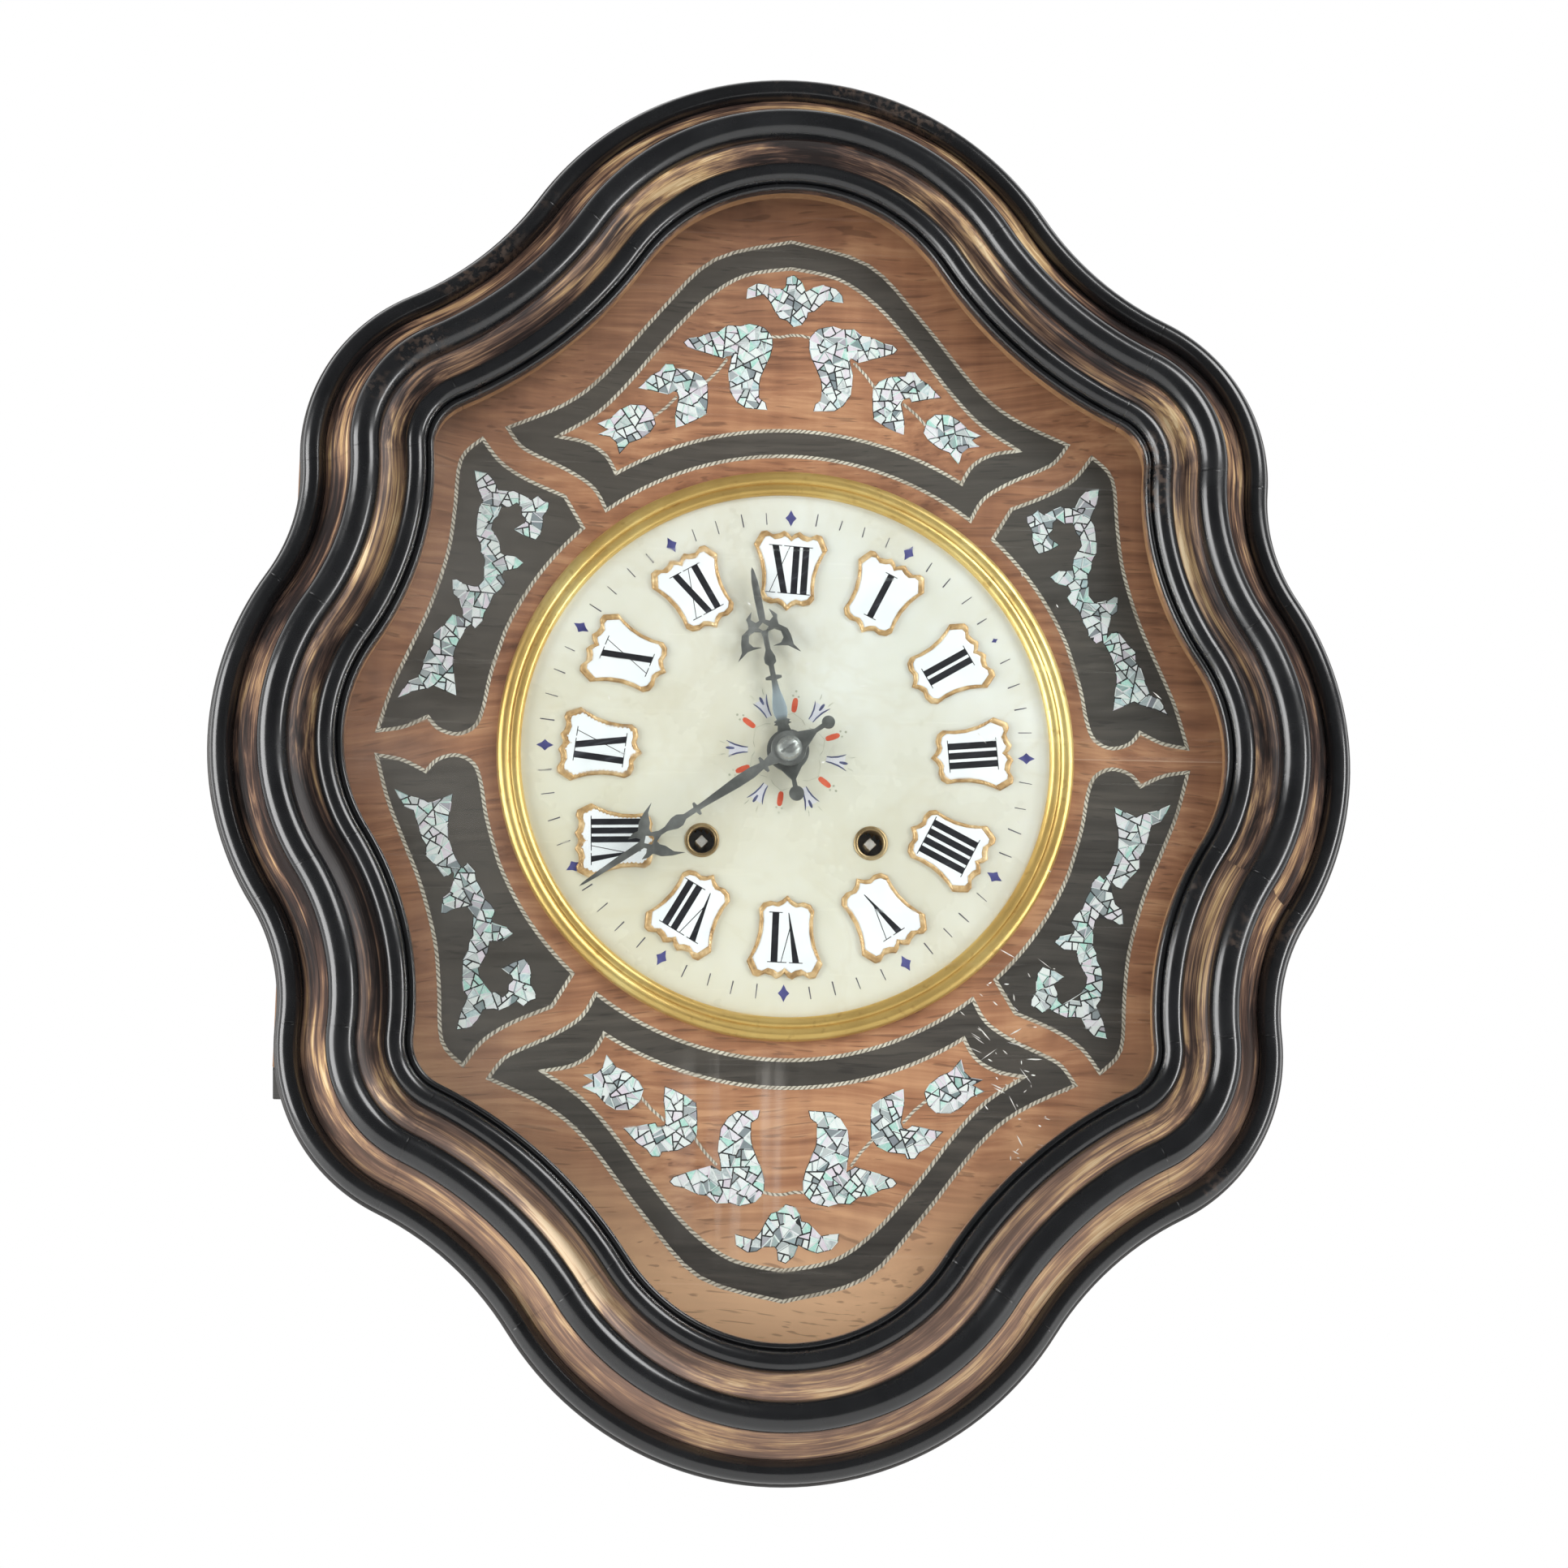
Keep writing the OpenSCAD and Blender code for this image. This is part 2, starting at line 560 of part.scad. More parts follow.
module door_screws() {
  color("darkgoldenrod") {
    for (z = hinge_zs, dz = door_screw_dz)
      screw_y([hinge_x + door_screw_dx, z + dz], door_back - seat / 2 - leaf_t, door_screw_r,
        door_screw_l);
    for (dz = latch_screw_dz)
      screw_y([latch_screw_x, dz], door_back - seat / 2 - leaf_t, door_screw_r, door_screw_l);
  }
}

// Movement: gear wheels are drawn with straight tapering teeth and plenty of freedom
function mesh_phase(line, phase, n_a, n_b) = line + 180 + 180 / n_b - (phase - line) * n_a / n_b;
function toothed(n, root, tip, phase, w_root, w_tip) = [for (i = [0:n - 1], c = [0:3])
  let (a = phase + 360 * i / n, w = 360 / n * (c == 0 || c == 3 ? w_root : w_tip) / 2)
  polar(c == 0 || c == 3 ? root : tip, a + (c < 2 ? -w : w))];
module wheel(p, m, n, phase, y0, y1) {
  r = m * n / 2;
  translate([p[0], 0, p[1]]) slab(y0, y1) difference() {
    polygon(toothed(n, r - 1.1 * m, r + 0.8 * m, phase, 0.46, 0.16));
    if (n > 40) for (i = [0:4]) rotate(72 * i + 36) translate([r * 0.52, 0]) circle(r * 0.24);
  }
}
module pinion(p, m, n, phase, y0, y1) {
  r = m * n / 2;
  translate([p[0], 0, p[1]]) slab(y0, y1) polygon(toothed(n, r - 1.2 * m, r + 0.6 * m, phase, 0.44, 0.18));
}
shaft_r = 1.5;
pivot_r = 0.9;
fine_shaft_r = 1;
fine_pivot_r = 0.7;
module arbor(p, r = shaft_r, pivot = pivot_r) {
  rod(p, back_in + 0.3, plate_front_in - 0.3, r);
  rod(p, back_out - 0.3, plate_front + 0.3, pivot);
}

// Trains: centres are found from the wheels' radii
barrel_n = 90;
barrel_m = 0.7;
second_pinion_n = 12;
second_n = 70;
fine_m = 0.6;
centre_pinion_n = 10;
centre_n = 84;
train_m = 0.45;
leaf_n = 7;
third_n = 84;
escape_r = 12;
escape_n = 30;
barrel_to_second = barrel_m * (barrel_n + second_pinion_n) / 2;
second_to_next = fine_m * (second_n + centre_pinion_n) / 2;
third_step = train_m * (centre_n + leaf_n) / 2;
centre_at = [0, 0];
second_at = meet(centre_at, second_to_next, wind_at, barrel_to_second, 1);
third_at = polar(third_step, 120);
escape_at = third_at + polar(third_step, 60);
pin_n = 60;
pin_m = 0.55;
warn_pinion_n = 8;
warn_n = 50;
warn_m = 0.5;
strike_second_at = strike_at + polar(barrel_to_second, 95);
pin_at = strike_second_at + polar(second_to_next, 75);
warn_at = pin_at + polar(pin_m * (pin_n + warn_pinion_n) / 2, 70);
fly_at = warn_at + polar(warn_m * (warn_n + warn_pinion_n) / 2, 75);
anchor_at = [0, 60];
hammer_at = [-60, 15];

// Phases that put each pair in mesh at rest
ph_centre_p = mesh_phase(bearing(second_at, centre_at), 0, second_n, centre_pinion_n);
ph_third_p = mesh_phase(bearing(centre_at, third_at), 0, centre_n, leaf_n);
ph_escape_p = mesh_phase(bearing(third_at, escape_at), 0, third_n, leaf_n);
ph_pin_p = mesh_phase(bearing(strike_second_at, pin_at), 0, second_n, centre_pinion_n);
ph_warn_p = mesh_phase(bearing(pin_at, warn_at), 0, pin_n, warn_pinion_n);
ph_fly_p = mesh_phase(bearing(warn_at, fly_at), 0, warn_n, warn_pinion_n);

// Levels inside the movement, in front of the back plate's inner face
lv_great = levels(back_in, [0.8, 3.4]);
lv_great_p = levels(back_in, [0.3, 4.4]);
lv_drum = levels(back_in, [3.4, 28.4]);
lv_second = levels(plate_front_in, [-3.6, -2]);
lv_second_p = levels(plate_front_in, [-4.4, -1.2]);
drum_r = barrel_m * barrel_n / 2 - 2.6;
drum_wall = 1.2;
barrel_shaft_r = 4;
barrel_pivot_r = 2.5;
module barrel(p, phase) {
  difference() {
    union() {
      wheel_solid(p, barrel_m, barrel_n, phase, lv_great[0], lv_great[1]);
      rod(p, lv_drum[0] - 0.1, lv_drum[1], drum_r);
    }
    rod(p, lv_drum[0], lv_drum[1] - drum_wall, drum_r - drum_wall);
    rod(p, 0, 200, barrel_shaft_r + run);
  }
}
module wheel_solid(p, m, n, phase, y0, y1) {
  r = m * n / 2;
  translate([p[0], 0, p[1]]) slab(y0, y1) polygon(toothed(n, r - 1.1 * m, r + 0.8 * m, phase, 0.46, 0.16));
}
spring_turns = 6;
spring_strip = 0.6;
function spiral(r0, r1, turns, off) = [for (k = [0:24 * turns]) polar(r0 +
  (r1 - r0) * k / (24 * turns) + off, 15 * k)];
module mainspring(p) {
  a = spiral(barrel_shaft_r + 1.2, drum_r - drum_wall - 1.2, spring_turns, 0);
  b = spiral(barrel_shaft_r + 1.2, drum_r - drum_wall - 1.2, spring_turns, spring_strip);
  translate([p[0], 0, p[1]]) slab(lv_drum[0] + seat, lv_drum[1] - drum_wall - seat)
    polygon(concat(a, [for (i = [len(b) - 1:-1:0]) b[i]]));
}
square_w = 4.2;
ratchet_n = 18;
ratchet_r = 9;
lv_ratchet = levels(plate_front, [0.5, 2.5]);
square_end = face - 3.5;
module winding_arbor(p) {
  rod(p, back_in + 0.3, plate_front_in - 0.3, barrel_shaft_r);
  rod(p, back_out - 0.3, lv_ratchet[0] + 0.5, barrel_pivot_r);
  translate([p[0], 0, p[1]]) slab(lv_ratchet[0], lv_ratchet[1])
    polygon([for (i = [0:ratchet_n - 1], c = [0, 1]) polar(c == 0 ? ratchet_r : ratchet_r - 1.6,
      360 * (i + c * 0.15) / ratchet_n)]);
  translate([p[0], 0, p[1]]) slab(lv_ratchet[1], square_end) rotate(45)
    square([square_w, square_w], center = true);
}
// A click beside its ratchet
click_from = [ratchet_r + gap + 3.4, 10];
click_hub_r = 2.6;
click_stud_r = 1;
module click(p) {
  q = p + click_from;
  nose = p + [ratchet_r + gap + 0.2, -1];
  slab(lv_ratchet[0], lv_ratchet[1] - 0.4) difference() {
    union() {
      translate(q) circle(click_hub_r);
      polygon([q + [2.4, 0], q + [-2.2, 1], nose + [0, 2.4], nose, nose + [2, 0]]);
    }
    translate(q) circle(click_stud_r + run);
  }
}

module movement_straps() {
  color("goldenrod") for (z = strap_zs) difference() {
    union() {
      block([-strap_half, strap_half], [front_back - strap_t, front_back],
        [z - strap_w / 2, z + strap_w / 2]);
      for (s = [-1, 1]) rod([s * pillar_x, z], plate_front, front_back - strap_t, pillar_r);
    }
    for (s = [-1, 1]) rod([s * strap_screw_x, z], front_back - strap_t - 1, front_back + 1, strap_screw_r);
  }
}
plate_x = 73;
plate_z = [-76, 66];
minute_stud = [0, 19.2];
minute_stud_r = 1.5;
anchor_hole_r = 5;
hammer_hole_r = 2.2;
module plate_outline() { translate([-plate_x, plate_z[0]]) square([2 * plate_x, plate_z[1] - plate_z[0]]); }
module plate_holes(y0, y1) {
  for (p = [second_at, strike_second_at, pin_at, warn_at, fly_at, hammer_at]) rod(p, y0 - 1, y1 + 1,
    pivot_r + run);
  for (p = [third_at, escape_at]) rod(p, y0 - 1, y1 + 1, fine_pivot_r + run);
  for (p = [wind_at, strike_at]) rod(p, y0 - 1, y1 + 1, barrel_pivot_r + run);
}
module front_plate() {
  color("goldenrod") difference() {
    union() {
      slab(plate_front_in, plate_front) plate_outline();
      rod(minute_stud, plate_front, lv_hour[1] + 2.6, minute_stud_r);
      for (s = [-1, 1]) rod([s * (wind_at[0] + click_from[0]), wind_at[1] + click_from[1]],
        plate_front, lv_ratchet[1] + 0.8, click_stud_r);
    }
    plate_holes(plate_front_in, plate_front);
    rod(centre_at, plate_front_in - 1, plate_front + 1, centre_r + run);
    rod(anchor_at, plate_front_in - 1, plate_front + 1, pivot_r + run);
  }
}
module back_plate() {
  color("goldenrod") {
    difference() {
      slab(back_out, back_in) plate_outline();
      plate_holes(back_out, back_in);
      rod(centre_at, back_out - 1, back_in + 1, pivot_r + run);
      rod(anchor_at, back_out - 1, back_in + 1, anchor_hole_r);
      rod(hammer_at, back_out - 1, back_in + 1, hammer_hole_r);
    }
    for (z = strap_zs, s = [-1, 1]) rod([s * pillar_x, z], back_in, plate_front_in, pillar_r);
  }
}
// Back cock: two feet on the back plate carry the anchor's pivot and the suspension
cock_back = back_out - 3.4;
cock_t = 1.6;
cock_half = 22;
cock_z = [56, 68];
cock_foot = [18, 62];
cock_foot_r = 3;
susp_y = cock_back - 3.2;
susp_top = 64.5;
susp_l = 15;
susp_w = 5;
susp_t = 0.2;
susp_clip_t = 1.3;
susp_clip_w = 6;
module back_cock() {
  color("goldenrod") {
    difference() {
      slab(cock_back, cock_back + cock_t) translate([-cock_half, cock_z[0]])
        square([2 * cock_half, cock_z[1] - cock_z[0]]);
      rod(anchor_at, cock_back - 1, cock_back + cock_t + 1, pivot_r + run);
    }
    for (s = [-1, 1]) rod([s * cock_foot[0], cock_foot[1]], cock_back + cock_t, back_out, cock_foot_r);
    block([-4, 4], [susp_y - susp_t / 2 - susp_clip_t, cock_back], [susp_top, cock_z[1]]);
  }
}
module suspension_spring() {
  color("lightsteelblue") block([-susp_w / 2, susp_w / 2], [susp_y - susp_t / 2, susp_y + susp_t / 2],
    [susp_top - susp_l, susp_top]);
}
// Gong: a flat coil of half turns, its end held in a block on the back board
gong_at = [0, -70];
gong_r = 30;
gong_pitch = 5;
gong_wire = 1.5;
gong_halves = 8;
gong_block = [16, 13, 18];
gong_block_out = 9;
gong_y = back_t + 6;
gong_end = gong_at + [gong_r + gong_halves * gong_pitch / 2, 0];
module gong_coil() {
  color("dimgray") {
    for (k = [0:gong_halves - 1])
      translate([gong_at[0] + (k % 2) * gong_pitch / 2, -gong_y, gong_at[1]]) rotate([90, 0, 0])
        rotate([0, 0, 180 * (k % 2)]) rotate_extrude(angle = 180)
        translate([gong_r + k * gong_pitch / 2, 0]) circle(gong_wire);
    block([gong_end[0] + gong_block_out - gong_block[0], gong_end[0] + gong_block_out],
      [back_t, back_t + gong_block[1]], [gong_end[1], gong_end[1] + gong_block[2]]);
  }
}

// Motion work and hands
motion_m = 0.6;
cannon_n = 16;
minute_n = 48;
hour_pinion_n = 12;
hour_n = 48;
hour_m = 0.64;
lv_motion = levels(plate_front, [3.2, 6]);
lv_hour = levels(plate_front, [7, 9.4]);
ph_minute_w = mesh_phase(90, 0, cannon_n, minute_n);
ph_hour_w = mesh_phase(-90, 0, hour_pinion_n, hour_n);
centre_r = 2.5;
cannon_r = 3.2;
hour_tube_r = 4.6;
lv_hour_hand = face + 3.6;
lv_minute_hand = lv_hour_hand + 4.6;
module cannon_pinion() {
  color("goldenrod") difference() {
    union() {
      pinion(centre_at, motion_m, cannon_n, 0, lv_motion[0], lv_motion[1]);
      rod(centre_at, lv_motion[0], lv_minute_hand + hand_t, cannon_r);
    }
    rod(centre_at, lv_motion[0] - 1, lv_minute_hand + 5, centre_r + run);
  }
}
module minute_wheel() {
  color("goldenrod") difference() {
    union() {
      wheel_solid(minute_stud, motion_m, minute_n, ph_minute_w, lv_motion[0] + 0.4, lv_motion[1] - 0.4);
      pinion(minute_stud, hour_m, hour_pinion_n, 0, lv_motion[1] - 0.4, lv_hour[1] + 0.4);
    }
    rod(minute_stud, lv_motion[0] - 1, lv_hour[1] + 2, minute_stud_r + run);
  }
}
module hour_wheel() {
  color("goldenrod") difference() {
    union() {
      wheel_solid(centre_at, hour_m, hour_n, ph_hour_w, lv_hour[0], lv_hour[1]);
      rod(centre_at, lv_hour[0], lv_hour_hand + hand_t, hour_tube_r);
    }
    rod(centre_at, lv_hour[0] - 1, lv_hour_hand + 4, cannon_r + run);
  }
}
// Hands: half outlines to the right of the axis, from the hub to the tip, and the eye of each scroll
hour_blade = [[3.2, 8.6], [2.4, 11.8], [4, 12.3], [3, 13], [3.8, 13.7], [2.3, 14.4], [3.1, 17],
  [3.3, 19.6], [2.8, 23], [1.7, 28], [1.2, 32.8], [3.7, 33.3], [3.7, 34.4], [1.2, 35], [1.2, 39.6], [2.6, 41], [2.6, 43.4],
  [1.2, 47]];
hour_scroll = [[1.2, 53], [1.7, 55.4], [4.6, 56.1], [7.4, 54.6], [8, 51.4], [6.4, 49.2], [2.8, 48.4],
  [6.6, 48], [9.4, 47.4], [14.5, 43.6], [12, 47.4], [11.6, 51.6], [10.6, 55.2], [7, 57.8],
  [6.8, 60.2], [7.2, 62.4], [4, 65.6], [5.2, 61.8], [3.2, 60]];
hour_tip = [[1.5, 60.8], [1.6, 64], [1.7, 72], [1.5, 79], [0.7, 84.4], [0, 86]];
hour_eye = [[0.8, 56], [2.4, 57.6], [0, 59.8]];
minute_blade = [[3, 7.6], [1.6, 12.4], [3.8, 13], [3.8, 14], [1.6, 14.6], [2.5, 20], [2.5, 28],
  [1.3, 45], [1.2, 48.6], [3.1, 49], [3.1, 50], [1.2, 50.6], [1.2, 56], [2.8, 58.6], [2.8, 61.4],
  [1.1, 66]];
minute_scroll = [[1.1, 69.2], [2.4, 72.4], [4.2, 72.2], [6.2, 70.4], [8.2, 69.6], [10.4, 68.6],
  [13.4, 64.8], [11.4, 70.4], [9, 74.6], [6, 77], [6.4, 79.6], [5.4, 82.6], [4.2, 79.4], [2.6, 78]];
minute_tip = [[1.7, 78.8], [1.6, 84], [1.4, 92], [1, 102], [0.5, 110], [0, 112]];
minute_eye = [[0.6, 72.6], [2.4, 75.2], [0, 77.6]];
module both_sides(pts) {
  off_axis = [for (p = pts) if (p[0] > 0) p];
  on_axis = [for (p = pts) if (p[0] == 0) p];
  left = [for (i = [len(off_axis) - 1:-1:0]) [-off_axis[i][0], off_axis[i][1]]];
  polygon(concat(off_axis, on_axis, left));
}
module hand_outline(outline, eye, hub, tail, ball) {
  difference() {
    union() {
      circle(hub);
      both_sides(concat([[2.6, 0]], outline));
      polygon([[-hub * 0.62, -hub * 0.7], [-1, -tail * 0.68], [-1.2, -tail], [1.2, -tail],
        [1, -tail * 0.68], [hub * 0.62, -hub * 0.7]]);
      translate([0, -tail]) circle(ball);
    }
    both_sides(eye);
  }
}
module minute_hand() {
  color([0.33, 0.35, 0.35]) slab(lv_minute_hand, lv_minute_hand + hand_t) rotate(-minute_at) difference() {
    hand_outline(concat(minute_blade, minute_scroll, minute_tip), minute_eye, 8, 21.6, 3);
    circle(cannon_r + fit);
  }
}
module hour_hand() {
  color([0.33, 0.35, 0.35]) slab(lv_hour_hand, lv_hour_hand + hand_t) rotate(-hour_at) difference() {
    hand_outline(concat(hour_blade, hour_scroll, hour_tip), hour_eye, 9.6, 20, 3.4);
    circle(hour_tube_r + fit);
  }
}
nut_y = lv_minute_hand + hand_t;
nut_r = 5.3;
nut_washer = [5.9, 0.8];
nut_h = 3;
nut_slot_w = 1;
nut_slot_d = 0.7;
nut_slot_at = 35;
module hand_nut() {
  color("silver") difference() {
    union() {
      rod(centre_at, nut_y, nut_y + nut_washer[1], nut_washer[0]);
      cone(centre_at, nut_y + nut_washer[1], nut_y + nut_h - 1, nut_r, nut_r * 0.86);
      cone(centre_at, nut_y + nut_h - 1, nut_y + nut_h, nut_r * 0.86, nut_r * 0.5);
    }
    rod(centre_at, nut_y - 1, nut_y + nut_h - nut_slot_d - 0.1, centre_r + run);
    slab(nut_y + nut_h - nut_slot_d, nut_y + nut_h + 1) rotate(nut_slot_at)
      square([2 * nut_r, nut_slot_w], center = true);
  }
}

// Wheels on their arbors
module going_barrel() { color("goldenrod") barrel(wind_at, bearing(wind_at, second_at)); }
module going_mainspring() { color("lightsteelblue") mainspring(wind_at); }
module going_arbor() { color("lightgray") winding_arbor(wind_at); }
module going_click() { color("lightgray") click(wind_at); }
module strike_barrel() { color("goldenrod") barrel(strike_at, bearing(strike_at, strike_second_at)); }
module strike_mainspring() { color("lightsteelblue") mainspring(strike_at); }
module strike_arbor() { color("lightgray") winding_arbor(strike_at); }
module strike_click() { color("lightgray") mirror([1, 0, 0]) click(wind_at); }
module going_second_wheel() {
  line = bearing(wind_at, second_at);
  color("goldenrod") {
    arbor(second_at);
    pinion(second_at, barrel_m, second_pinion_n, mesh_phase(line, line, barrel_n, second_pinion_n),
      lv_great_p[0], lv_great_p[1]);
    wheel(second_at, fine_m, second_n, 0, lv_second[0], lv_second[1]);
  }
}
lv_centre = levels(back_in, [8.4, 9.9]);
lv_third = levels(back_in, [18.4, 19.9]);
module centre_wheel() {
  color("goldenrod") {
    rod(centre_at, back_out - 0.3, back_in + 0.3, pivot_r);
    rod(centre_at, back_in + 0.3, lv_second_p[1], fine_shaft_r);
    rod(centre_at, lv_second_p[1], nut_y + 2, centre_r);
    pinion(centre_at, fine_m, centre_pinion_n, ph_centre_p, lv_second_p[0], lv_second_p[1]);
    wheel(centre_at, train_m, centre_n, 0, lv_centre[0], lv_centre[1]);
  }
}
module third_wheel() {
  color("goldenrod") {
    arbor(third_at, fine_shaft_r, fine_pivot_r);
    pinion(third_at, train_m, leaf_n, ph_third_p, lv_centre[0] - 1, lv_centre[1] + 1);
    wheel(third_at, train_m, third_n, 0, lv_third[0], lv_third[1]);
  }
}
lv_escape = levels(back_in, [29, 30.2]);
module escape_wheel() {
  color("goldenrod") {
    arbor(escape_at, fine_shaft_r, fine_pivot_r);
    pinion(escape_at, train_m, leaf_n, ph_escape_p, lv_third[0] - 1, lv_third[1] + 1);
    translate([escape_at[0], 0, escape_at[1]]) slab(lv_escape[0], lv_escape[1]) difference() {
      polygon([for (i = [0:escape_n - 1], c = [0, 1, 2]) polar(c == 0 ? escape_r : escape_r - 2.2,
        360 * (i + [0, 0.12, 0.8][c]) / escape_n)]);
      for (i = [0:3]) rotate(90 * i + 45) translate([5.4, 0]) circle(2.2);
    }
  }
}
module strike_second_wheel() {
  line = bearing(strike_at, strike_second_at);
  color("goldenrod") {
    arbor(strike_second_at);
    pinion(strike_second_at, barrel_m, second_pinion_n, mesh_phase(line, line, barrel_n,
      second_pinion_n), lv_great_p[0], lv_great_p[1]);
    wheel(strike_second_at, fine_m, second_n, 0, lv_second[0], lv_second[1]);
  }
}
lv_pin = levels(back_in, [28.5, 30]);
lift_pins = 8;
lift_pin_ring = 14;
lift_pin_l = 2.6;
lift_pin_r = 0.8;
module pin_wheel() {
  color("goldenrod") {
    arbor(pin_at);
    pinion(pin_at, fine_m, centre_pinion_n, ph_pin_p, lv_second_p[0], lv_second_p[1]);
    wheel(pin_at, pin_m, pin_n, 0, lv_pin[0], lv_pin[1]);
    for (i = [0:lift_pins - 1]) rod(pin_at + polar(lift_pin_ring, 360 * i / lift_pins),
      lv_pin[0] - lift_pin_l, lv_pin[0] + 0.1, lift_pin_r);
  }
}
lv_warn = levels(back_in, [22.5, 24]);
fly_half = 10.5;
fly_t = 0.8;
lv_fly = levels(back_in, [12, 19.5]);
module warning_wheel() {
  color("goldenrod") {
    arbor(warn_at);
    pinion(warn_at, pin_m, warn_pinion_n, ph_warn_p, lv_pin[0] - 1, lv_pin[1] + 1);
    wheel(warn_at, warn_m, warn_n, 0, lv_warn[0], lv_warn[1]);
  }
}
module fly() {
  color("goldenrod") {
    arbor(fly_at);
    pinion(fly_at, warn_m, warn_pinion_n, ph_fly_p, lv_warn[0] - 1, lv_warn[1] + 1);
    block([fly_at[0] - fly_half, fly_at[0] + fly_half], lv_fly,
      [fly_at[1] - fly_t / 2, fly_at[1] + fly_t / 2]);
  }
}

// Escapement and pendulum
lv_anchor = levels(back_in, [28.4, 30.8]);
pallet_clear = 1.7;
anchor_hub_r = 3.6;
anchor_arm = 9;
crutch_z = 8;
crutch_w = 2.8;
crutch_foot_w = 8.8;
crutch_fork = [3.1, 1.4];
lv_crutch = levels(back_out, [-1.4, -0.6]);
module anchor() {
  reach = escape_r + pallet_clear;
  left = escape_at + polar(reach, 150);
  right = escape_at + polar(reach, 30);
  color("lightgray") {
    rod(anchor_at, cock_back + cock_t + 0.3, plate_front_in - 0.3, fine_shaft_r + 0.2);
    rod(anchor_at, cock_back - 0.3, plate_front + 0.3, pivot_r);
    slab(lv_anchor[0], lv_anchor[1]) union() {
      translate(anchor_at) circle(anchor_hub_r);
      polygon([anchor_at + [0, anchor_hub_r], anchor_at + [anchor_arm, 0], right + [4, 7],
        right + [3, 0.6], right, right + [-0.8, 4.4], anchor_at + [4, -anchor_hub_r],
        anchor_at + [-4, -anchor_hub_r], left + [0.8, 4.4], left, left + [-3, 0.6], left + [-4, 7],
        anchor_at + [-anchor_arm, 0]]);
    }
    slab(lv_crutch[0], lv_crutch[1]) union() {
      translate(anchor_at) circle(3);
      translate([-crutch_w / 2, crutch_z]) square([crutch_w, anchor_at[1] - crutch_z]);
      translate([-crutch_foot_w / 2, crutch_z - 3]) square([crutch_foot_w, 4]);
    }
    for (s = [-1, 1])
      block([s * crutch_fork[0] - crutch_fork[1] / 2, s * crutch_fork[0] + crutch_fork[1] / 2],
        [susp_y - 3.4, back_out - 0.7], [crutch_z - 2.4, crutch_z]);
  }
}
rod_r = 1.5;
bob_at = [0, anchor_at[1] - pendulum_l];
bob_t = 6;
bob_edge = 0.6;
nut_rate = [4.5, 3];
rod_below = 7;
module pendulum() {
  top = susp_top - susp_l;
  color("lightgray") {
    for (d = [susp_t / 2, -susp_t / 2 - susp_clip_t])
      block([-susp_clip_w / 2, susp_clip_w / 2], [susp_y + d, susp_y + d + susp_clip_t],
        [top - 4, top + 2]);
    translate([0, -susp_y, bob_at[1] - bob_r - rod_below])
      cylinder(h = top - 1.9 - (bob_at[1] - bob_r - rod_below), r = rod_r);
  }
  color("goldenrod") {
    difference() {
      translate([bob_at[0], -susp_y, bob_at[1]]) rotate([90, 0, 0]) rotate_extrude()
        polygon([[0, -bob_t / 2], [bob_r * 0.8, -bob_t / 2], [bob_r, -bob_edge], [bob_r, bob_edge],
          [bob_r * 0.8, bob_t / 2], [0, bob_t / 2]]);
      translate([0, -susp_y, bob_at[1] - bob_r - 5]) rotate([0, 0, 20]) cylinder(h = 2 * bob_r + 10,
        r = rod_r + seat);
    }
    translate([0, -susp_y, bob_at[1] - bob_r - nut_rate[1] - 1]) cylinder(h = nut_rate[1], r = nut_rate[0]);
  }
}
hammer_l = hammer_at[1] - gong_at[1];
hammer_y = gong_y + 1;
hammer_face = -gong_r - (gong_halves - 2) * gong_pitch / 2 - gong_wire - 1.2;
hammer_head_l = 8;
hammer_head_r = 4;
hammer_arm_w = 3;
hammer_end = back_out - 4.4;
module hammer() {
  color("lightgray") {
    rod(hammer_at, back_in + 0.3, plate_front_in - 0.3, shaft_r);
    rod(hammer_at, hammer_end, plate_front + 0.3, pivot_r);
    rod(hammer_at, hammer_end, back_in + 0.3, shaft_r - 0.1);
    slab(back_out - 2.4, back_out - 0.9) union() {
      translate(hammer_at) circle(3.2);
      translate(hammer_at + [-hammer_arm_w / 2, -hammer_l]) square([hammer_arm_w, hammer_l]);
    }
    rod(hammer_at - [0, hammer_l - 1.6], hammer_y + 2, back_out - 1, 1.5);
    bar_x(hammer_at[0] - hammer_head_l, hammer_face, hammer_y, gong_at[1] + 1.6, hammer_head_r);
  }
}

back_board();
case_top();
case_bottom();
case_left();
case_right();
case_front();
panel_board();
marquetry_panel();
inlay_fields();
bezel();
dial_plate();
dial_grommets();
plaque_frames();
plaque_enamels();
hinge_stile();
case_hinge_leaves();
case_screws();
hanging_plate();
movement_straps();
front_plate();
back_plate();
back_cock();
suspension_spring();
gong_coil();
frame_base();
outer_rail();
middle_rail();
inner_rail();
door_glass();
glass_beads();
door_hinge_leaves();
door_screws();
latch_bracket();
latch_hook();
minute_hand();
cannon_pinion();
hand_nut();
hour_hand();
hour_wheel();
minute_wheel();
going_barrel();
going_mainspring();
going_second_wheel();
centre_wheel();
third_wheel();
escape_wheel();
going_arbor();
going_click();
strike_barrel();
strike_mainspring();
strike_second_wheel();
pin_wheel();
warning_wheel();
fly();
strike_arbor();
strike_click();
anchor();
pendulum();
hammer();
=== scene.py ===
import json
from math import atan2, cos, degrees, pi, radians, sin, sqrt
import random
import bmesh
import bpy
from mathutils import Matrix, Vector


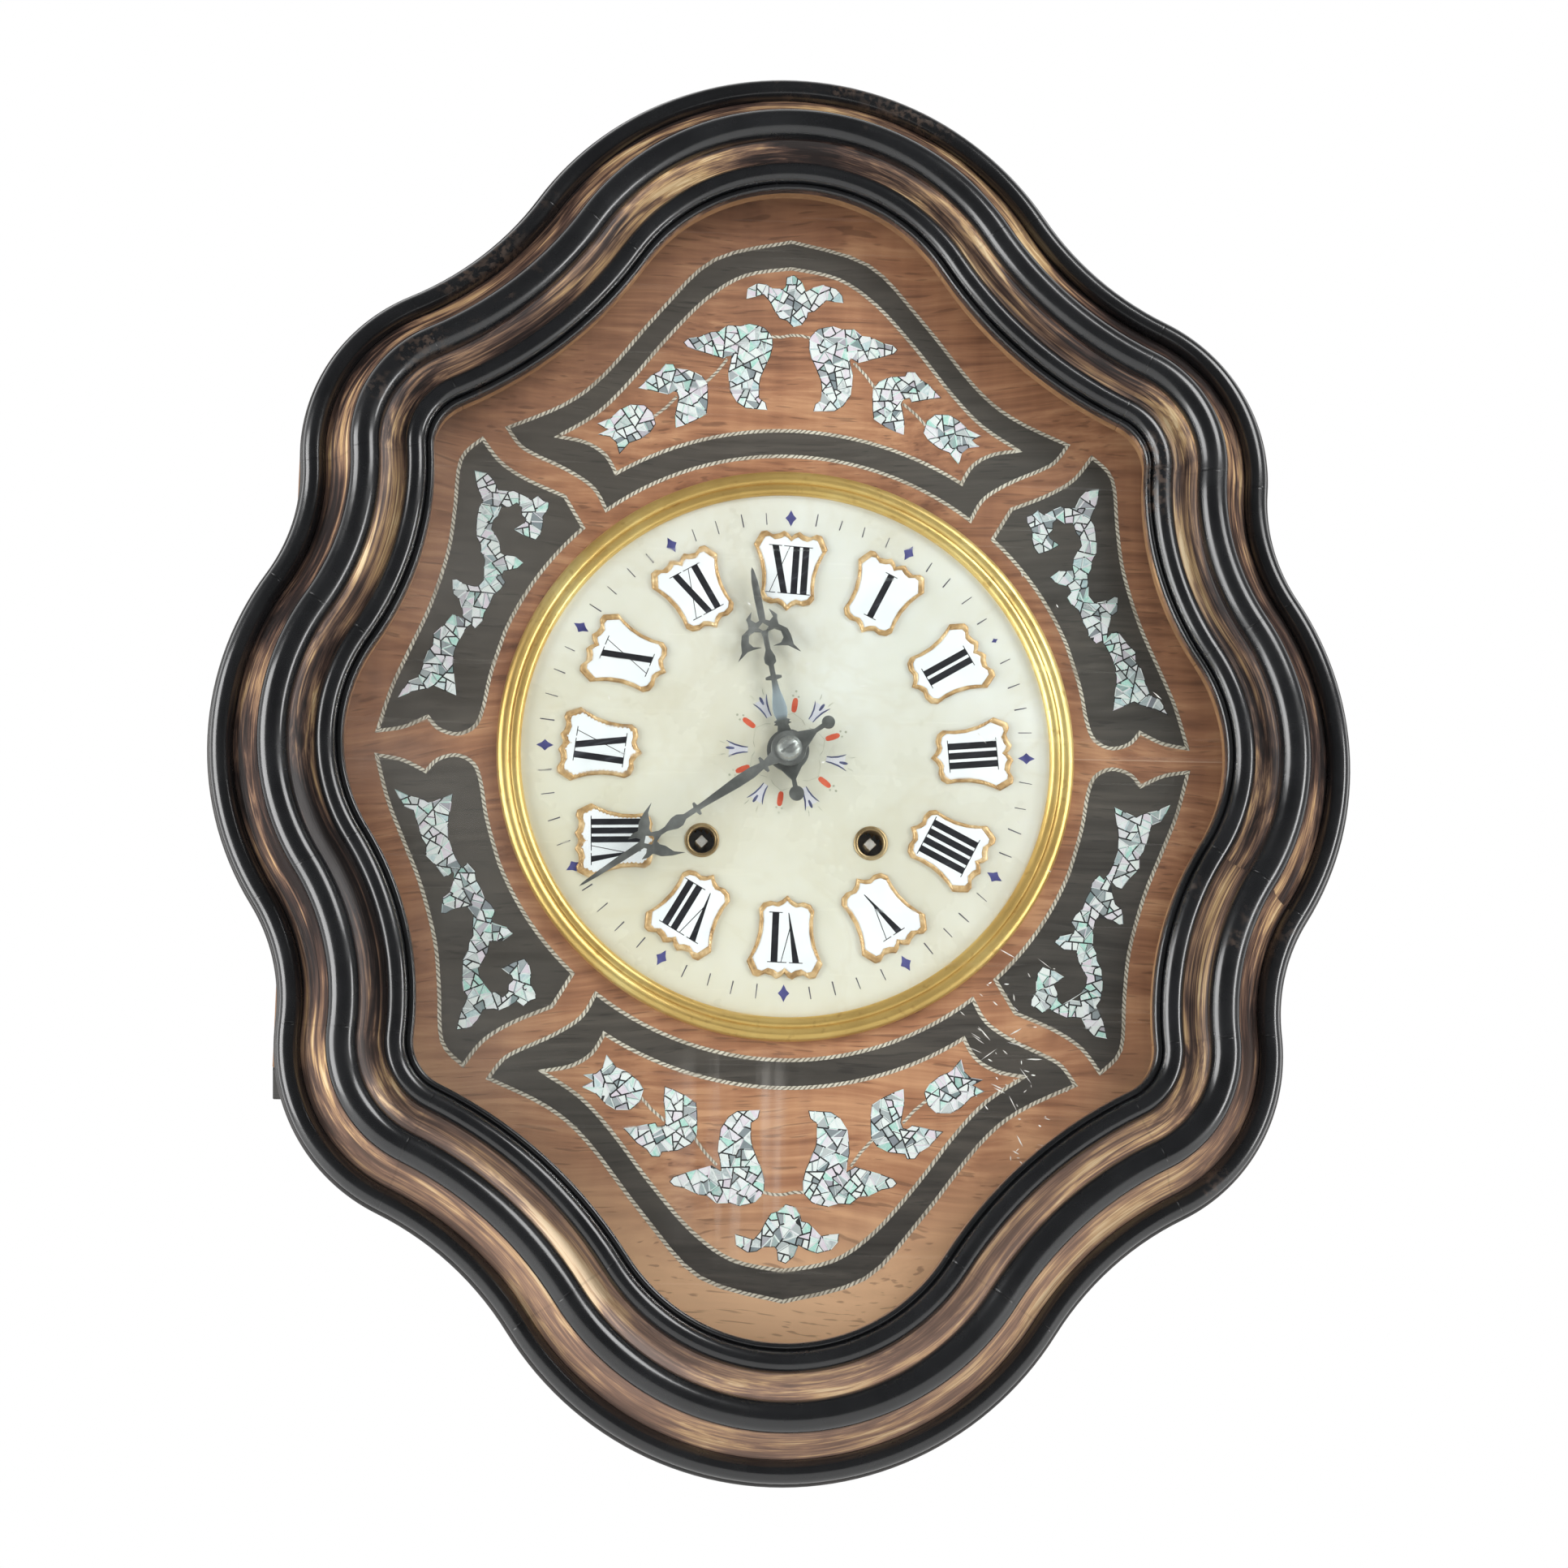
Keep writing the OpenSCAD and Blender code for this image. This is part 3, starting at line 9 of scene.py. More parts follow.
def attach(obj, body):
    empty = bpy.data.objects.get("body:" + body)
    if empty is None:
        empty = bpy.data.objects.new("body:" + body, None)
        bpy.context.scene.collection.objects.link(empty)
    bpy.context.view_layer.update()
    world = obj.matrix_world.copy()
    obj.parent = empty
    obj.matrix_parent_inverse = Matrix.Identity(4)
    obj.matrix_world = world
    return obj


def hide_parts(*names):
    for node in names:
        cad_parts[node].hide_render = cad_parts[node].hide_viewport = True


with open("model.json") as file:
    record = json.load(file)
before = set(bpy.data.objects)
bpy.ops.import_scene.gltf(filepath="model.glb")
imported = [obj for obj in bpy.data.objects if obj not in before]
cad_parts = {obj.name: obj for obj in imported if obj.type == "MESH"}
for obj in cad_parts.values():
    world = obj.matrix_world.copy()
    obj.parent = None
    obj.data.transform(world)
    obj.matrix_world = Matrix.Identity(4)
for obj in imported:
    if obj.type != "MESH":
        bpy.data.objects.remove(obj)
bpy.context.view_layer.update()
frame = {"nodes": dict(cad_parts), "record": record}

mm = 0.001
allNodes = frame["nodes"]
bodyOf = {node: body for body, nodes in frame["record"]["behaviour"]["bodies"].items() for node in nodes}
slotOf = {part["node"]: part["material_slot"] for part in frame["record"]["subparts"]}


def at(x, z, out):
    return Vector((x, -out, z)) * mm  # out is how far in front of the wall


def deselectAll():
    if bpy.context.object and bpy.context.object.mode != "OBJECT":
        bpy.ops.object.mode_set(mode="OBJECT")
    bpy.ops.object.select_all(action="DESELECT")


def activate(piece):
    deselectAll()
    piece.select_set(True)
    bpy.context.view_layer.objects.active = piece


def startPiece(name):
    deselectAll()
    bpy.ops.mesh.primitive_plane_add(size=mm)
    piece = bpy.context.object
    piece.name = piece.data.name = name
    bpy.ops.object.mode_set(mode="EDIT")
    bpy.ops.mesh.delete(type="VERT")
    bpy.ops.object.mode_set(mode="OBJECT")
    bpy.ops.object.mode_set(mode="EDIT")  # so that the first outline's points come in order too


def layShape(points, filled=True):
    # in edit mode: adds one outline as a disc or ring of points, then puts each point in its place
    bpy.ops.mesh.select_all(action="DESELECT")
    bpy.ops.mesh.primitive_circle_add(vertices=len(points), radius=mm, fill_type="NGON" if filled else "NOTHING")
    mesh = bmesh.from_edit_mesh(bpy.context.edit_object.data)
    corners = [vertex for vertex in mesh.verts if vertex.select]
    for vertex, place in zip(corners, points):
        vertex.co = place
    for face in mesh.faces:
        if face.select:
            face.normal_update()
            if face.normal.y > 0:
                face.normal_flip()
    bmesh.update_edit_mesh(bpy.context.edit_object.data)


def bridgeLast(count, kind="SINGLE"):
    # in edit mode: joins the rings that the last points make, and tells which point is their first
    mesh = bmesh.from_edit_mesh(bpy.context.edit_object.data)
    mesh.verts.ensure_lookup_table()
    first = len(mesh.verts) - count
    for i in range(first, first + count):
        mesh.verts[i].select_set(True)
    mesh.select_flush(True)
    bmesh.update_edit_mesh(bpy.context.edit_object.data)
    bpy.ops.mesh.bridge_edge_loops(type=kind)
    return first


def closePiece(smooth=0, weld=0):
    # smooth in degrees and weld in mm, where the piece needs them
    bpy.ops.mesh.select_all(action="SELECT")
    if weld:
        bpy.ops.mesh.remove_doubles(threshold=weld * mm)
        bpy.ops.mesh.normals_make_consistent(inside=False)
    bpy.ops.object.mode_set(mode="OBJECT")
    if smooth:
        bpy.ops.object.shade_smooth_by_angle(angle=radians(smooth))
    return bpy.context.object


def flatPiece(name, shapes):
    startPiece(name)
    for shape in shapes:
        layShape(shape)
    return closePiece()


def spunPiece(name, points, turns, weld):
    # a ring of points, spun by each turn's steps and angle round its centre and axis
    deselectAll()
    bpy.ops.mesh.primitive_circle_add(vertices=len(points), radius=mm)
    piece = bpy.context.object
    piece.name = name
    for vertex, place in zip(piece.data.vertices, points):
        vertex.co = place
    bpy.ops.object.mode_set(mode="EDIT")
    bpy.ops.mesh.select_all(action="SELECT")
    for steps, angle, centre, axis in turns:
        bpy.ops.mesh.spin(steps=steps, angle=angle, center=centre, axis=axis)
    return closePiece(38, weld)


def useModifier(piece, kind, **settings):
    activate(piece)
    modifier = piece.modifiers.new(kind, kind)
    for name, value in settings.items():
        setattr(modifier, name, value)
    bpy.ops.object.modifier_apply(modifier=modifier.name)


def dress(piece, finish, body, slot, *stoodFor):
    piece.data.materials.clear()
    piece.data.materials.append(finish)
    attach(piece, body)
    if stoodFor:
        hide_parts(*stoodFor)


def dressNode(node, finish):
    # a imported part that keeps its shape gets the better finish
    part = allNodes[node]
    if not part.material_slots:
        part.data.materials.append(finish)
    for holder in part.material_slots:
        holder.material = finish


def softenedParts(nodes, finish, edge, segments=2, smooth=32):
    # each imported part's shape with its arrises eased
    for node in nodes.split():
        softenedPart(node, finish, edge, segments, smooth)


def softenedPart(node, finish, edge, segments, smooth):
    deselectAll()
    piece = bpy.data.objects.new(node + "_eased", allNodes[node].data.copy())
    bpy.context.collection.objects.link(piece)
    activate(piece)
    bpy.ops.object.mode_set(mode="EDIT")
    bpy.ops.mesh.select_all(action="SELECT")
    bpy.ops.mesh.remove_doubles(threshold=0.002 * mm)
    bpy.ops.mesh.dissolve_limited(angle_limit=radians(0.4))
    bpy.ops.object.mode_set(mode="OBJECT")
    if edge:
        useModifier(piece, "BEVEL", width=edge * mm, segments=segments, limit_method="ANGLE", angle_limit=radians(38),
                    use_clamp_overlap=True)
    bpy.ops.object.shade_smooth_by_angle(angle=radians(smooth))
    dress(piece, finish, bodyOf[node], slotOf[node], node)


def colour(red, green, blue):
    def plain(level):
        level = level / 255
        return level / 12.92 if level <= 0.04045 else ((level + 0.055) / 1.055) ** 2.4
    return (plain(red), plain(green), plain(blue), 1)


def setInputs(node, values):
    for name, value in values.items():
        if isinstance(value, bpy.types.NodeSocket):
            tree.links.new(value, node.inputs[name])
        else:
            node.inputs[name].default_value = value
    return node


def addNode(kind, inputs=None, **settings):
    made = tree.nodes.new("ShaderNode" + kind)
    for name, value in settings.items():
        setattr(made, name, value)
    return setInputs(made, inputs or {})


def calc(operation, first, second=None):
    values = {0: first} if second is None else {0: first, 1: second}
    return addNode("Math", values, operation=operation).outputs[0]


def plus(first, second):
    return calc("ADD", first, second)


def minus(first, second):
    return calc("SUBTRACT", first, second)


def times(first, second):
    return calc("MULTIPLY", first, second)


def axes(vector):
    return addNode("SeparateXYZ", {0: vector}).outputs


def remap(value, low, high, newLow=0.0, newHigh=1.0, kind="LINEAR"):
    limits = {"Value": value, "From Min": low, "From Max": high, "To Min": newLow, "To Max": newHigh}
    return addNode("MapRange", limits, interpolation_type=kind).outputs[0]


def eased(value, low, high, newLow=0.0, newHigh=1.0):
    return remap(value, low, high, newLow, newHigh, "SMOOTHSTEP")


def mixed(factor, first, second):
    values = {0: factor, 6: first, 7: second}
    values = {key: colour(*value) if isinstance(value, tuple) else value for key, value in values.items()}
    return addNode("Mix", values, data_type="RGBA").outputs[2]


def toned(value, stops):
    made = addNode("ValToRGB", {0: value})
    ramp = made.color_ramp
    while len(ramp.elements) < len(stops):
        ramp.elements.new(0.5)
    for element, (position, tint) in zip(ramp.elements, stops):
        element.position = position
        element.color = colour(*tint)
    return made.outputs[0]


def noise(vector, scale, detail=4.0, roughness=0.55, distortion=0.0):
    return addNode("TexNoise", {"Vector": vector, "Scale": scale, "Detail": detail, "Roughness": roughness,
                                "Distortion": distortion}).outputs[0]


def placed(scale=(1, 1, 1), turn=(0, 0, 0), shift=(0, 0, 0), source=None):
    # the piece's own coordinates in metres, stretched as asked
    if source is None:
        source = addNode("TexCoord").outputs["Object"]
    return addNode("Mapping", {"Vector": source, "Scale": scale, "Rotation": turn, "Location": shift}).outputs[0]


def newFinish(name, **plain):
    # the nodes made after this go into the new finish
    global tree, shader
    finish = bpy.data.materials.new(name)
    finish.use_nodes = True
    tree = finish.node_tree
    shader = tree.nodes["Principled BSDF"]
    for socket, value in plain.items():
        shader.inputs[socket.replace("_", " ")].default_value = value
    return finish


def feed(value, socket):
    tree.links.new(value, shader.inputs[socket])


def bumped(height, strength, distance):
    feed(addNode("Bump", {"Height": height, "Strength": strength, "Distance": distance}).outputs[0], "Normal")


def cloudedFinish(name, roughness, scale, detail, stops):
    finish = newFinish(name, Roughness=roughness)
    feed(toned(noise(placed(), scale, detail), stops), "Base Color")
    return finish


def newEffect(name, inputs, outputs):
    # a shared effect: a vector and named numbers in, masks or heights out; the nodes made after this go into it
    global tree
    tree = bpy.data.node_groups.new(name, "ShaderNodeTree")
    tree.interface.new_socket("Vector", in_out="INPUT", socket_type="NodeSocketVector")
    for label, value in inputs.items():
        tree.interface.new_socket(label, in_out="INPUT", socket_type="NodeSocketFloat").default_value = value
    for label in outputs:
        tree.interface.new_socket(label, in_out="OUTPUT", socket_type="NodeSocketFloat")
    return tree, tree.nodes.new("NodeGroupInput").outputs, tree.nodes.new("NodeGroupOutput").inputs


def useEffect(group, **values):
    made = tree.nodes.new("ShaderNodeGroup")
    made.node_tree = group
    return setInputs(made, values).outputs


print("stage: camera, light and floor")
cameraValues = {"distance": 1050, "left": 4.28, "below": 10.5, "aim": (-2.27, -16.86), "aimOut": 112, "roll": 0.51,
                "focal": 54.0}
left = radians(cameraValues["left"])
below = radians(cameraValues["below"])
aim = at(cameraValues["aim"][0], cameraValues["aim"][1], cameraValues["aimOut"])
middle = at(0, 0, cameraValues["aimOut"])
away = Vector((-sin(left) * cos(below), -cos(left) * cos(below), -sin(below)))
cameraPlace = middle + away * cameraValues["distance"] * mm
camera = bpy.data.objects.new("camera", bpy.data.cameras.new("camera"))
bpy.context.collection.objects.link(camera)
camera.data.lens = cameraValues["focal"]
camera.data.sensor_width = 36
camera.data.clip_start = 0.05
camera.location = cameraPlace
lookAt = (aim - cameraPlace).to_track_quat("-Z", "Y").to_matrix().to_4x4()
roll = Matrix.Rotation(radians(cameraValues["roll"]), 4, "Z")
camera.matrix_world = Matrix.Translation(cameraPlace) @ lookAt @ roll
bpy.context.scene.camera = camera
bpy.context.scene.view_settings.view_transform = "Standard"

# place, size and power of each softbox: one high on the right, an upright one on either side
lampValues = {"key": ((1.35, -1.35, 1.15), 0.95, 0.95, 22), "left": ((-1.95, -0.8, 0.0), 1.2, 1.7, 44),
              "right": ((1.85, -0.95, -0.2), 0.4, 1.3, 17)}
roomValues = {"light": 0.47, "darkSide": 0.09}
for label, (place, width, height, power) in lampValues.items():
    lamp = bpy.data.lights.new(label + "Softbox", "AREA")
    lamp.shape = "RECTANGLE"
    lamp.size = width
    lamp.size_y = height
    lamp.energy = power
    holder = bpy.data.objects.new(label + "Softbox", lamp)
    bpy.context.collection.objects.link(holder)
    holder.location = place
    holder.rotation_euler = (-holder.location).to_track_quat("-Z", "Y").to_euler()

room = bpy.data.worlds.new("studio")
bpy.context.scene.world = room
room.use_nodes = True
tree = room.node_tree
rays = addNode("LightPath")
shown = calc("MAXIMUM", rays.outputs["Is Camera Ray"], rays.outputs["Is Glossy Ray"])
shown = calc("MAXIMUM", shown, rays.outputs["Is Transmission Ray"])
towardsBack = eased(axes(addNode("TexCoord").outputs["Generated"])[1], -0.1, 0.55, roomValues["darkSide"], 1.0)
backdrop = calc("MAXIMUM", towardsBack, rays.outputs["Is Camera Ray"])  # white to the camera from any side
level = addNode("Mix", {0: shown, 2: roomValues["light"], 3: backdrop}, data_type="FLOAT").outputs[0]
tree.links.new(level, tree.nodes["Background"].inputs["Strength"])
tree.nodes["Background"].inputs["Color"].default_value = (1, 1, 1, 1)

deselectAll()
bpy.ops.mesh.primitive_circle_add(vertices=96, radius=2.0, fill_type="NGON", location=(0, 0, -0.85))
studioFloor = bpy.context.object
studioFloor.name = "studioFloor"
studioFloor.data.materials.append(cloudedFinish("paleFloor", 0.85, 3.0, 5.0,
                                                [(0.3, (238, 238, 237)), (0.7, (246, 246, 245))]))

print("stage: shared effects")
# wood: the grain runs along X of the vector it is given
woodFigure, given, result = newEffect("woodFigure", {"Scale": 10.0, "Waver": 0.4}, ["Figure", "Pores", "Fibre"])
sized = addNode("VectorMath", {0: given["Vector"], 3: given["Scale"]}, operation="SCALE").outputs[0]
drift = addNode("TexNoise", {"Vector": placed((0.6, 1.5, 1.5), source=sized), "Scale": 1.0, "Detail": 2.0})
sway = addNode("VectorMath", {0: drift.outputs[1], 3: given["Waver"]}, operation="SCALE").outputs[0]
bent = addNode("VectorMath", {0: sized, 1: sway}, operation="ADD").outputs[0]
figure = noise(placed((0.35, 5, 5), source=bent), 1.0, 6.0, 0.6)
fibre = noise(placed((1.2, 40, 40), source=bent), 1.0, 3.0, 0.6)
pores = noise(placed((6, 90, 90), source=bent), 1.0, 1.0, 0.5)
tree.links.new(figure, result["Figure"])
tree.links.new(fibre, result["Fibre"])
tree.links.new(eased(pores, 0.62, 0.7), result["Pores"])
# fine scratches in three directions
fineScratches, given, result = newEffect("fineScratches", {"Scale": 60.0, "Amount": 0.3}, ["Lines"])
limit = minus(0.74, times(given["Amount"], 0.12))
lines = None
for turn in ((0, 0.5, 0), (0, -0.9, 0), (0, 1.9, 0)):
    run = placed((0.03, 1, 1), turn, source=given["Vector"])
    line = remap(noise(run, given["Scale"], 1.0, 0.5), limit, plus(limit, 0.02))
    lines = line if lines is None else calc("MAXIMUM", lines, line)
tree.links.new(lines, result["Lines"])
# small pale chips and specks of dirt
chips, given, result = newEffect("chips", {"Scale": 120.0, "Amount": 0.1}, ["Mask"])
cells = addNode("TexVoronoi", {"Vector": given["Vector"], "Scale": given["Scale"], "Randomness": 1.0})
patch = noise(given["Vector"], 14.0, 3.0)
chance = addNode("SeparateColor", {0: cells.outputs["Color"]}).outputs[0]
wanted = calc("LESS_THAN", chance, times(given["Amount"], remap(patch, 0.45, 0.7, 0.1, 2.0)))
small = calc("LESS_THAN", cells.outputs["Distance"], times(chance, 1.6))
tree.links.new(times(wanted, small), result["Mask"])
# metal: cloudy tarnish, fine polishing lines
metalTone, given, result = newEffect("metalTone", {"Scale": 20.0, "Lines": 400.0}, ["Cloud", "Rubbed", "Pits"])
tree.links.new(noise(given["Vector"], given["Scale"], 6.0, 0.62), result["Cloud"])
tree.links.new(noise(placed((0.15, 1, 1), source=given["Vector"]), given["Lines"], 2.0, 0.5), result["Rubbed"])
tree.links.new(remap(noise(given["Vector"], times(given["Scale"], 22.0), 2.0, 0.5), 0.62, 0.72), result["Pits"])

print("stage: finishes")


def metalFinish(name, dark, mid, light, roughness=0.28, rough=0.18, scale=25.0, lines=500.0, pits=0.12, metallic=1.0):
    finish = newFinish(name, Metallic=metallic)
    tone = useEffect(metalTone, Vector=placed(), Scale=scale, Lines=lines)
    shade = toned(tone["Cloud"], [(0.28, dark), (0.5, mid), (0.72, light)])
    shade = mixed(times(tone["Pits"], 0.55), shade, dark)
    feed(shade, "Base Color")
    wear = plus(times(tone["Cloud"], rough), times(tone["Rubbed"], rough * 0.6))
    feed(plus(wear, roughness - rough * 0.8), "Roughness")
    height = minus(times(tone["Rubbed"], 0.3), tone["Pits"])
    bumped(height, pits, 0.0001)
    return finish


brass = metalFinish("lacqueredBrass", (150, 108, 50), (201, 160, 82), (224, 190, 112), 0.24)
dullBrass = metalFinish("castBrass", (122, 88, 44), (170, 130, 66), (196, 158, 90), 0.38, 0.22, 40.0)
platedBrass = metalFinish("movementBrass", (140, 104, 52), (186, 146, 78), (212, 176, 104), 0.3, 0.15, 30.0, 900.0)
greySteel = metalFinish("greySteel", (84, 84, 84), (136, 137, 139), (170, 171, 174), 0.33, 0.2, 35.0)
# painted highlight: the winding squares get a near-white, scarcely metallic colour so they look lit deep in their holes
squareSteelPaintedBright = metalFinish("squareSteelPaintedHighlight", (206, 204, 200), (238, 237, 234), (250, 250, 248), 0.3, 0.2, 60.0,
                          metallic=0.1)
springSteel = metalFinish("springSteel", (52, 56, 66), (84, 90, 104), (118, 122, 130), 0.26, 0.16, 30.0)
screwSteel = metalFinish("screwSteel", (58, 52, 46), (98, 92, 86), (134, 128, 120), 0.42, 0.22, 80.0)
ironGrey = metalFinish("gongSteel", (50, 50, 52), (84, 85, 88), (112, 112, 116), 0.35, 0.2, 60.0)

print("stage: frame mouldings")
frameValues = {"height": 640, "width": 514, "northLobe": 142, "eastLobe": 136, "cornerLobe": 82,
               "cornerInX": 116.7, "cornerInZ": 187.5, "northHollow": 140, "eastHollow": 80, "back": 99.3,
               "step": 2.2, "outerRail": (1.9, 11.9, 10, 1), "middleRail": (24.5, 38, 27, 0.95),
               "innerRail": (48.5, 58, 22, 2), "notch": [(58, 22.6), (58.2, 22.6)],
               "bead": (58.2, 61, 22, 1)}  # rails and bead: from, to, seat, foot


def crossing(p, fromP, q, fromQ, side):
    gapPQ = q - p
    apart = gapPQ.length
    along = (fromP ** 2 - fromQ ** 2 + apart ** 2) / (2 * apart)
    off = sqrt(fromP ** 2 - along ** 2)
    unit = gapPQ / apart
    return p + unit * along + Vector((-unit.y, unit.x)) * off * side


def bearing(p, q):
    return atan2(q.y - p.y, q.x - p.x)


def frameArcs(v):
    # eight lobes and eight hollows, counter-clockwise from the right
    corner = Vector((v["width"] / 2 - v["cornerInX"], v["height"] / 2 - v["cornerInZ"]))
    east = Vector((v["width"] / 2 - v["eastLobe"], 0))
    north = Vector((0, v["height"] / 2 - v["northLobe"]))
    centres = [east, corner, north, Vector((-corner.x, corner.y)), -east, -corner, -north,
               Vector((corner.x, -corner.y))]
    radii = [v["eastLobe"], v["cornerLobe"], v["northLobe"], v["cornerLobe"]] * 2
    hollows = [v["eastHollow"] if i % 4 in (0, 3) else v["northHollow"] for i in range(8)]
    between = [crossing(centres[i], radii[i] + hollows[i], centres[(i + 1) % 8], radii[(i + 1) % 8] + hollows[i], -1)
               for i in range(8)]
    arcs, travelled = [], 0.0
    for i in range(8):
        start = bearing(centres[i], between[i - 1])
        turn = (bearing(centres[i], between[i]) - start) % (2 * pi)
        arcs.append({"centre": centres[i], "radius": radii[i], "start": start, "turn": turn, "lobe": True})
        start = bearing(between[i], centres[i])
        turn = (start - bearing(between[i], centres[(i + 1) % 8])) % (2 * pi)
        arcs.append({"centre": between[i], "radius": hollows[i], "start": start, "turn": turn, "lobe": False})
    for arc in arcs:
        arc["before"] = travelled
        arc["length"] = arc["radius"] * arc["turn"]
        travelled += arc["length"]
    return arcs


arcs = frameArcs(frameValues)


def alongFrame(x, z):
    # for a place on the moulding: which length it is on, how far along it and how far in from the edge
    best = None
    for number, arc in enumerate(arcs):
        reach = Vector((x, z)) - arc["centre"]
        inward = arc["radius"] - reach.length if arc["lobe"] else reach.length - arc["radius"]
        swing = (atan2(reach.y, reach.x) - arc["start"]) * (1 if arc["lobe"] else -1)
        swing = (swing + pi) % (2 * pi) - pi
        over = max(0, -swing, swing - arc["turn"])
        if over < 0.004 and -3 < inward < 75 and (best is None or over < best[0]):
            best = (over, number, min(max(swing / arc["turn"], 0), 1), inward)
    return best[1:] if best else (0, 0.0, 0.0)


def sweptStrip(name, section):
    # the section, drawn as distance in and height, is spun round the sixteen lengths in turn
    centre, radius, start = [arcs[0][key] for key in ("centre", "radius", "start")]
    points = [at(centre.x + (radius - inward) * cos(start), centre.y + (radius - inward) * sin(start),
                 frameValues["back"] + height) for inward, height in section]
    turns = [(max(4, round(degrees(arc["turn"]) / frameValues["step"])), -arc["turn"],
              at(arc["centre"].x, arc["centre"].y, 0), (0, -1 if arc["lobe"] else 1, 0)) for arc in arcs]
    strip = spunPiece(name, points, turns, 0.02)
    layAlong(strip)
    return strip


def layAlong(strip):
    # two maps: along the moulding and in from its edge, and the way to each end of the glued length
    mesh = strip.data
    known = [alongFrame(v.co.x / mm, v.co.z / mm) for v in mesh.vertices]
    along = mesh.uv_layers.new(name="along")
    ends = mesh.uv_layers.new(name="ends")
    for face in mesh.polygons:
        corners = [mesh.vertices[mesh.loops[i].vertex_index].co for i in face.loop_indices]
        centre = sum(corners, Vector()) / len(corners)
        number = alongFrame(centre.x / mm, centre.z / mm)[0]
        arc = arcs[number]
        for i in face.loop_indices:
            n, share, inward = known[mesh.loops[i].vertex_index]
            if n != number:  # the corner is shared with the next length
                share = 0.0 if (n - number) % 16 == 15 else 1.0
            along.data[i].uv = ((arc["before"] + share * arc["length"]) * mm, inward * mm)
            ends.data[i].uv = (share * arc["length"] * mm, (1 - share) * arc["length"] * mm)


def halfRound(fromIn, toIn, seat, foot, sides=14):
    radius = (toIn - fromIn) / 2
    rounded = [(fromIn + radius - radius * cos(pi * i / sides), seat + foot + radius * sin(pi * i / sides))
               for i in range(sides + 1)]
    return [(fromIn, seat)] + rounded + [(toIn, seat)]


# the base's section, as distance in and height: its edge, two hollows, a seat for each rail, and its inner foot
baseValues = {"edge": [(0.1, 0), (0.1, 4), (0.1, 7.6), (0.3, 8.6), (0.7, 9.3), (1.2, 9.8), (1.9, 10), (12, 10)],
              "coveFrom": (12, 11), "coveRun": (12.5, 15), "middleSeat": [(24.5, 27), (38, 27)],
              "hollowFrom": (38, 25.3), "hollowRun": (10.5, -2.3), "hollowDip": 1.6,
              "innerSeat": [(48.5, 22), (61, 22), (61, 18.8), (55.5, 18.8), (55.5, 0)]}


def baseSection(v):
    shares = [i / 12 for i in range(13)]
    (startIn, startUp), (wide, high) = v["coveFrom"], v["coveRun"]
    cove = [(startIn + wide * t, startUp + high * (1 - cos(pi / 2 * t))) for t in shares]
    (startIn, startUp), (wide, high) = v["hollowFrom"], v["hollowRun"]
    hollow = [(startIn + wide * t, startUp + high * t - v["hollowDip"] * sin(pi * t)) for t in shares]
    return v["edge"] + cove + v["middleSeat"] + hollow + v["innerSeat"]


frameBase = sweptStrip("frameBase", baseSection(baseValues))
outerRail = sweptStrip("outerRail", halfRound(*frameValues["outerRail"]))
middleRail = sweptStrip("middleRail", halfRound(*frameValues["middleRail"]))
innerRail = sweptStrip("innerRail", halfRound(*frameValues["innerRail"]) + frameValues["notch"] +
                       halfRound(*frameValues["bead"], 8)[1:])


def glueLines(width):
    # dark hair lines where the glued lengths meet, from the second map
    ends = axes(addNode("UVMap", uv_map="ends").outputs[0])
    nearest = calc("MINIMUM", ends[0], ends[1])
    wander = times(noise(placed(), 90.0), 0.0006)
    return remap(minus(nearest, wander), 0.0, width, 1.0, 0.0)


ebonised = newFinish("ebonisedRail", Coat_Weight=0.6, Coat_Roughness=0.13, Specular_IOR_Level=0.5)
spot = placed()
places = axes(spot)
upperLeft = remap(minus(places[2], places[0]), 0.12, 0.4, 0.0, 0.07)
worn = times(eased(plus(noise(spot, 11.0, 5.0, 0.62), upperLeft), 0.6, 0.7), remap(noise(spot, 320.0, 3.0), 0.47, 0.6))
specks = useEffect(chips, Vector=spot, Scale=420.0, Amount=0.012)["Mask"]
shade = toned(noise(spot, 30.0, 5.0), [(0.3, (15, 16, 18)), (0.7, (29, 30, 32))])
shade = mixed(times(worn, 0.5), shade, (92, 72, 58))
shade = mixed(times(specks, 0.6), shade, (205, 198, 185))
shade = mixed(times(glueLines(0.0003), 0.4), shade, (6, 6, 6))
feed(shade, "Base Color")
gloss = remap(noise(spot, 55.0, 4.0), 0.3, 0.7, 0.2, 0.32)
feed(plus(gloss, times(worn, 0.3)), "Roughness")
ripple = noise(spot, 38.0, 3.0)
height = plus(ripple, times(specks, 0.2))
bumped(minus(height, times(glueLines(0.0003), 0.3)), 0.35, 0.0008)

giltBase = newFinish("brushedGiltBase", Coat_Weight=0.1, Coat_Roughness=0.35)
flow = addNode("UVMap", uv_map="along").outputs[0]
spot = placed()
streaks = noise(placed((16, 330, 1), (0, 0, 0.02), source=flow), 1.0, 6.0, 0.66, 1.1)
broad = noise(placed((14, 110, 1), (0, 0, -0.03), (3, 0, 0), source=flow), 1.0, 3.0, 0.5, 0.8)
fine = noise(placed((30, 1500, 1), source=flow), 1.0, 3.0, 0.6)
patchy = noise(spot, 9.0, 4.0, 0.6)
gold = plus(remap(streaks, 0.36, 0.64, 0.0, 0.46), remap(broad, 0.36, 0.64, 0.0, 0.34))
gold = plus(gold, remap(fine, 0.35, 0.65, -0.04, 0.16))
gold = plus(gold, remap(patchy, 0.36, 0.64, -0.28, 0.2))
inward = axes(flow)[1]
places = axes(spot)
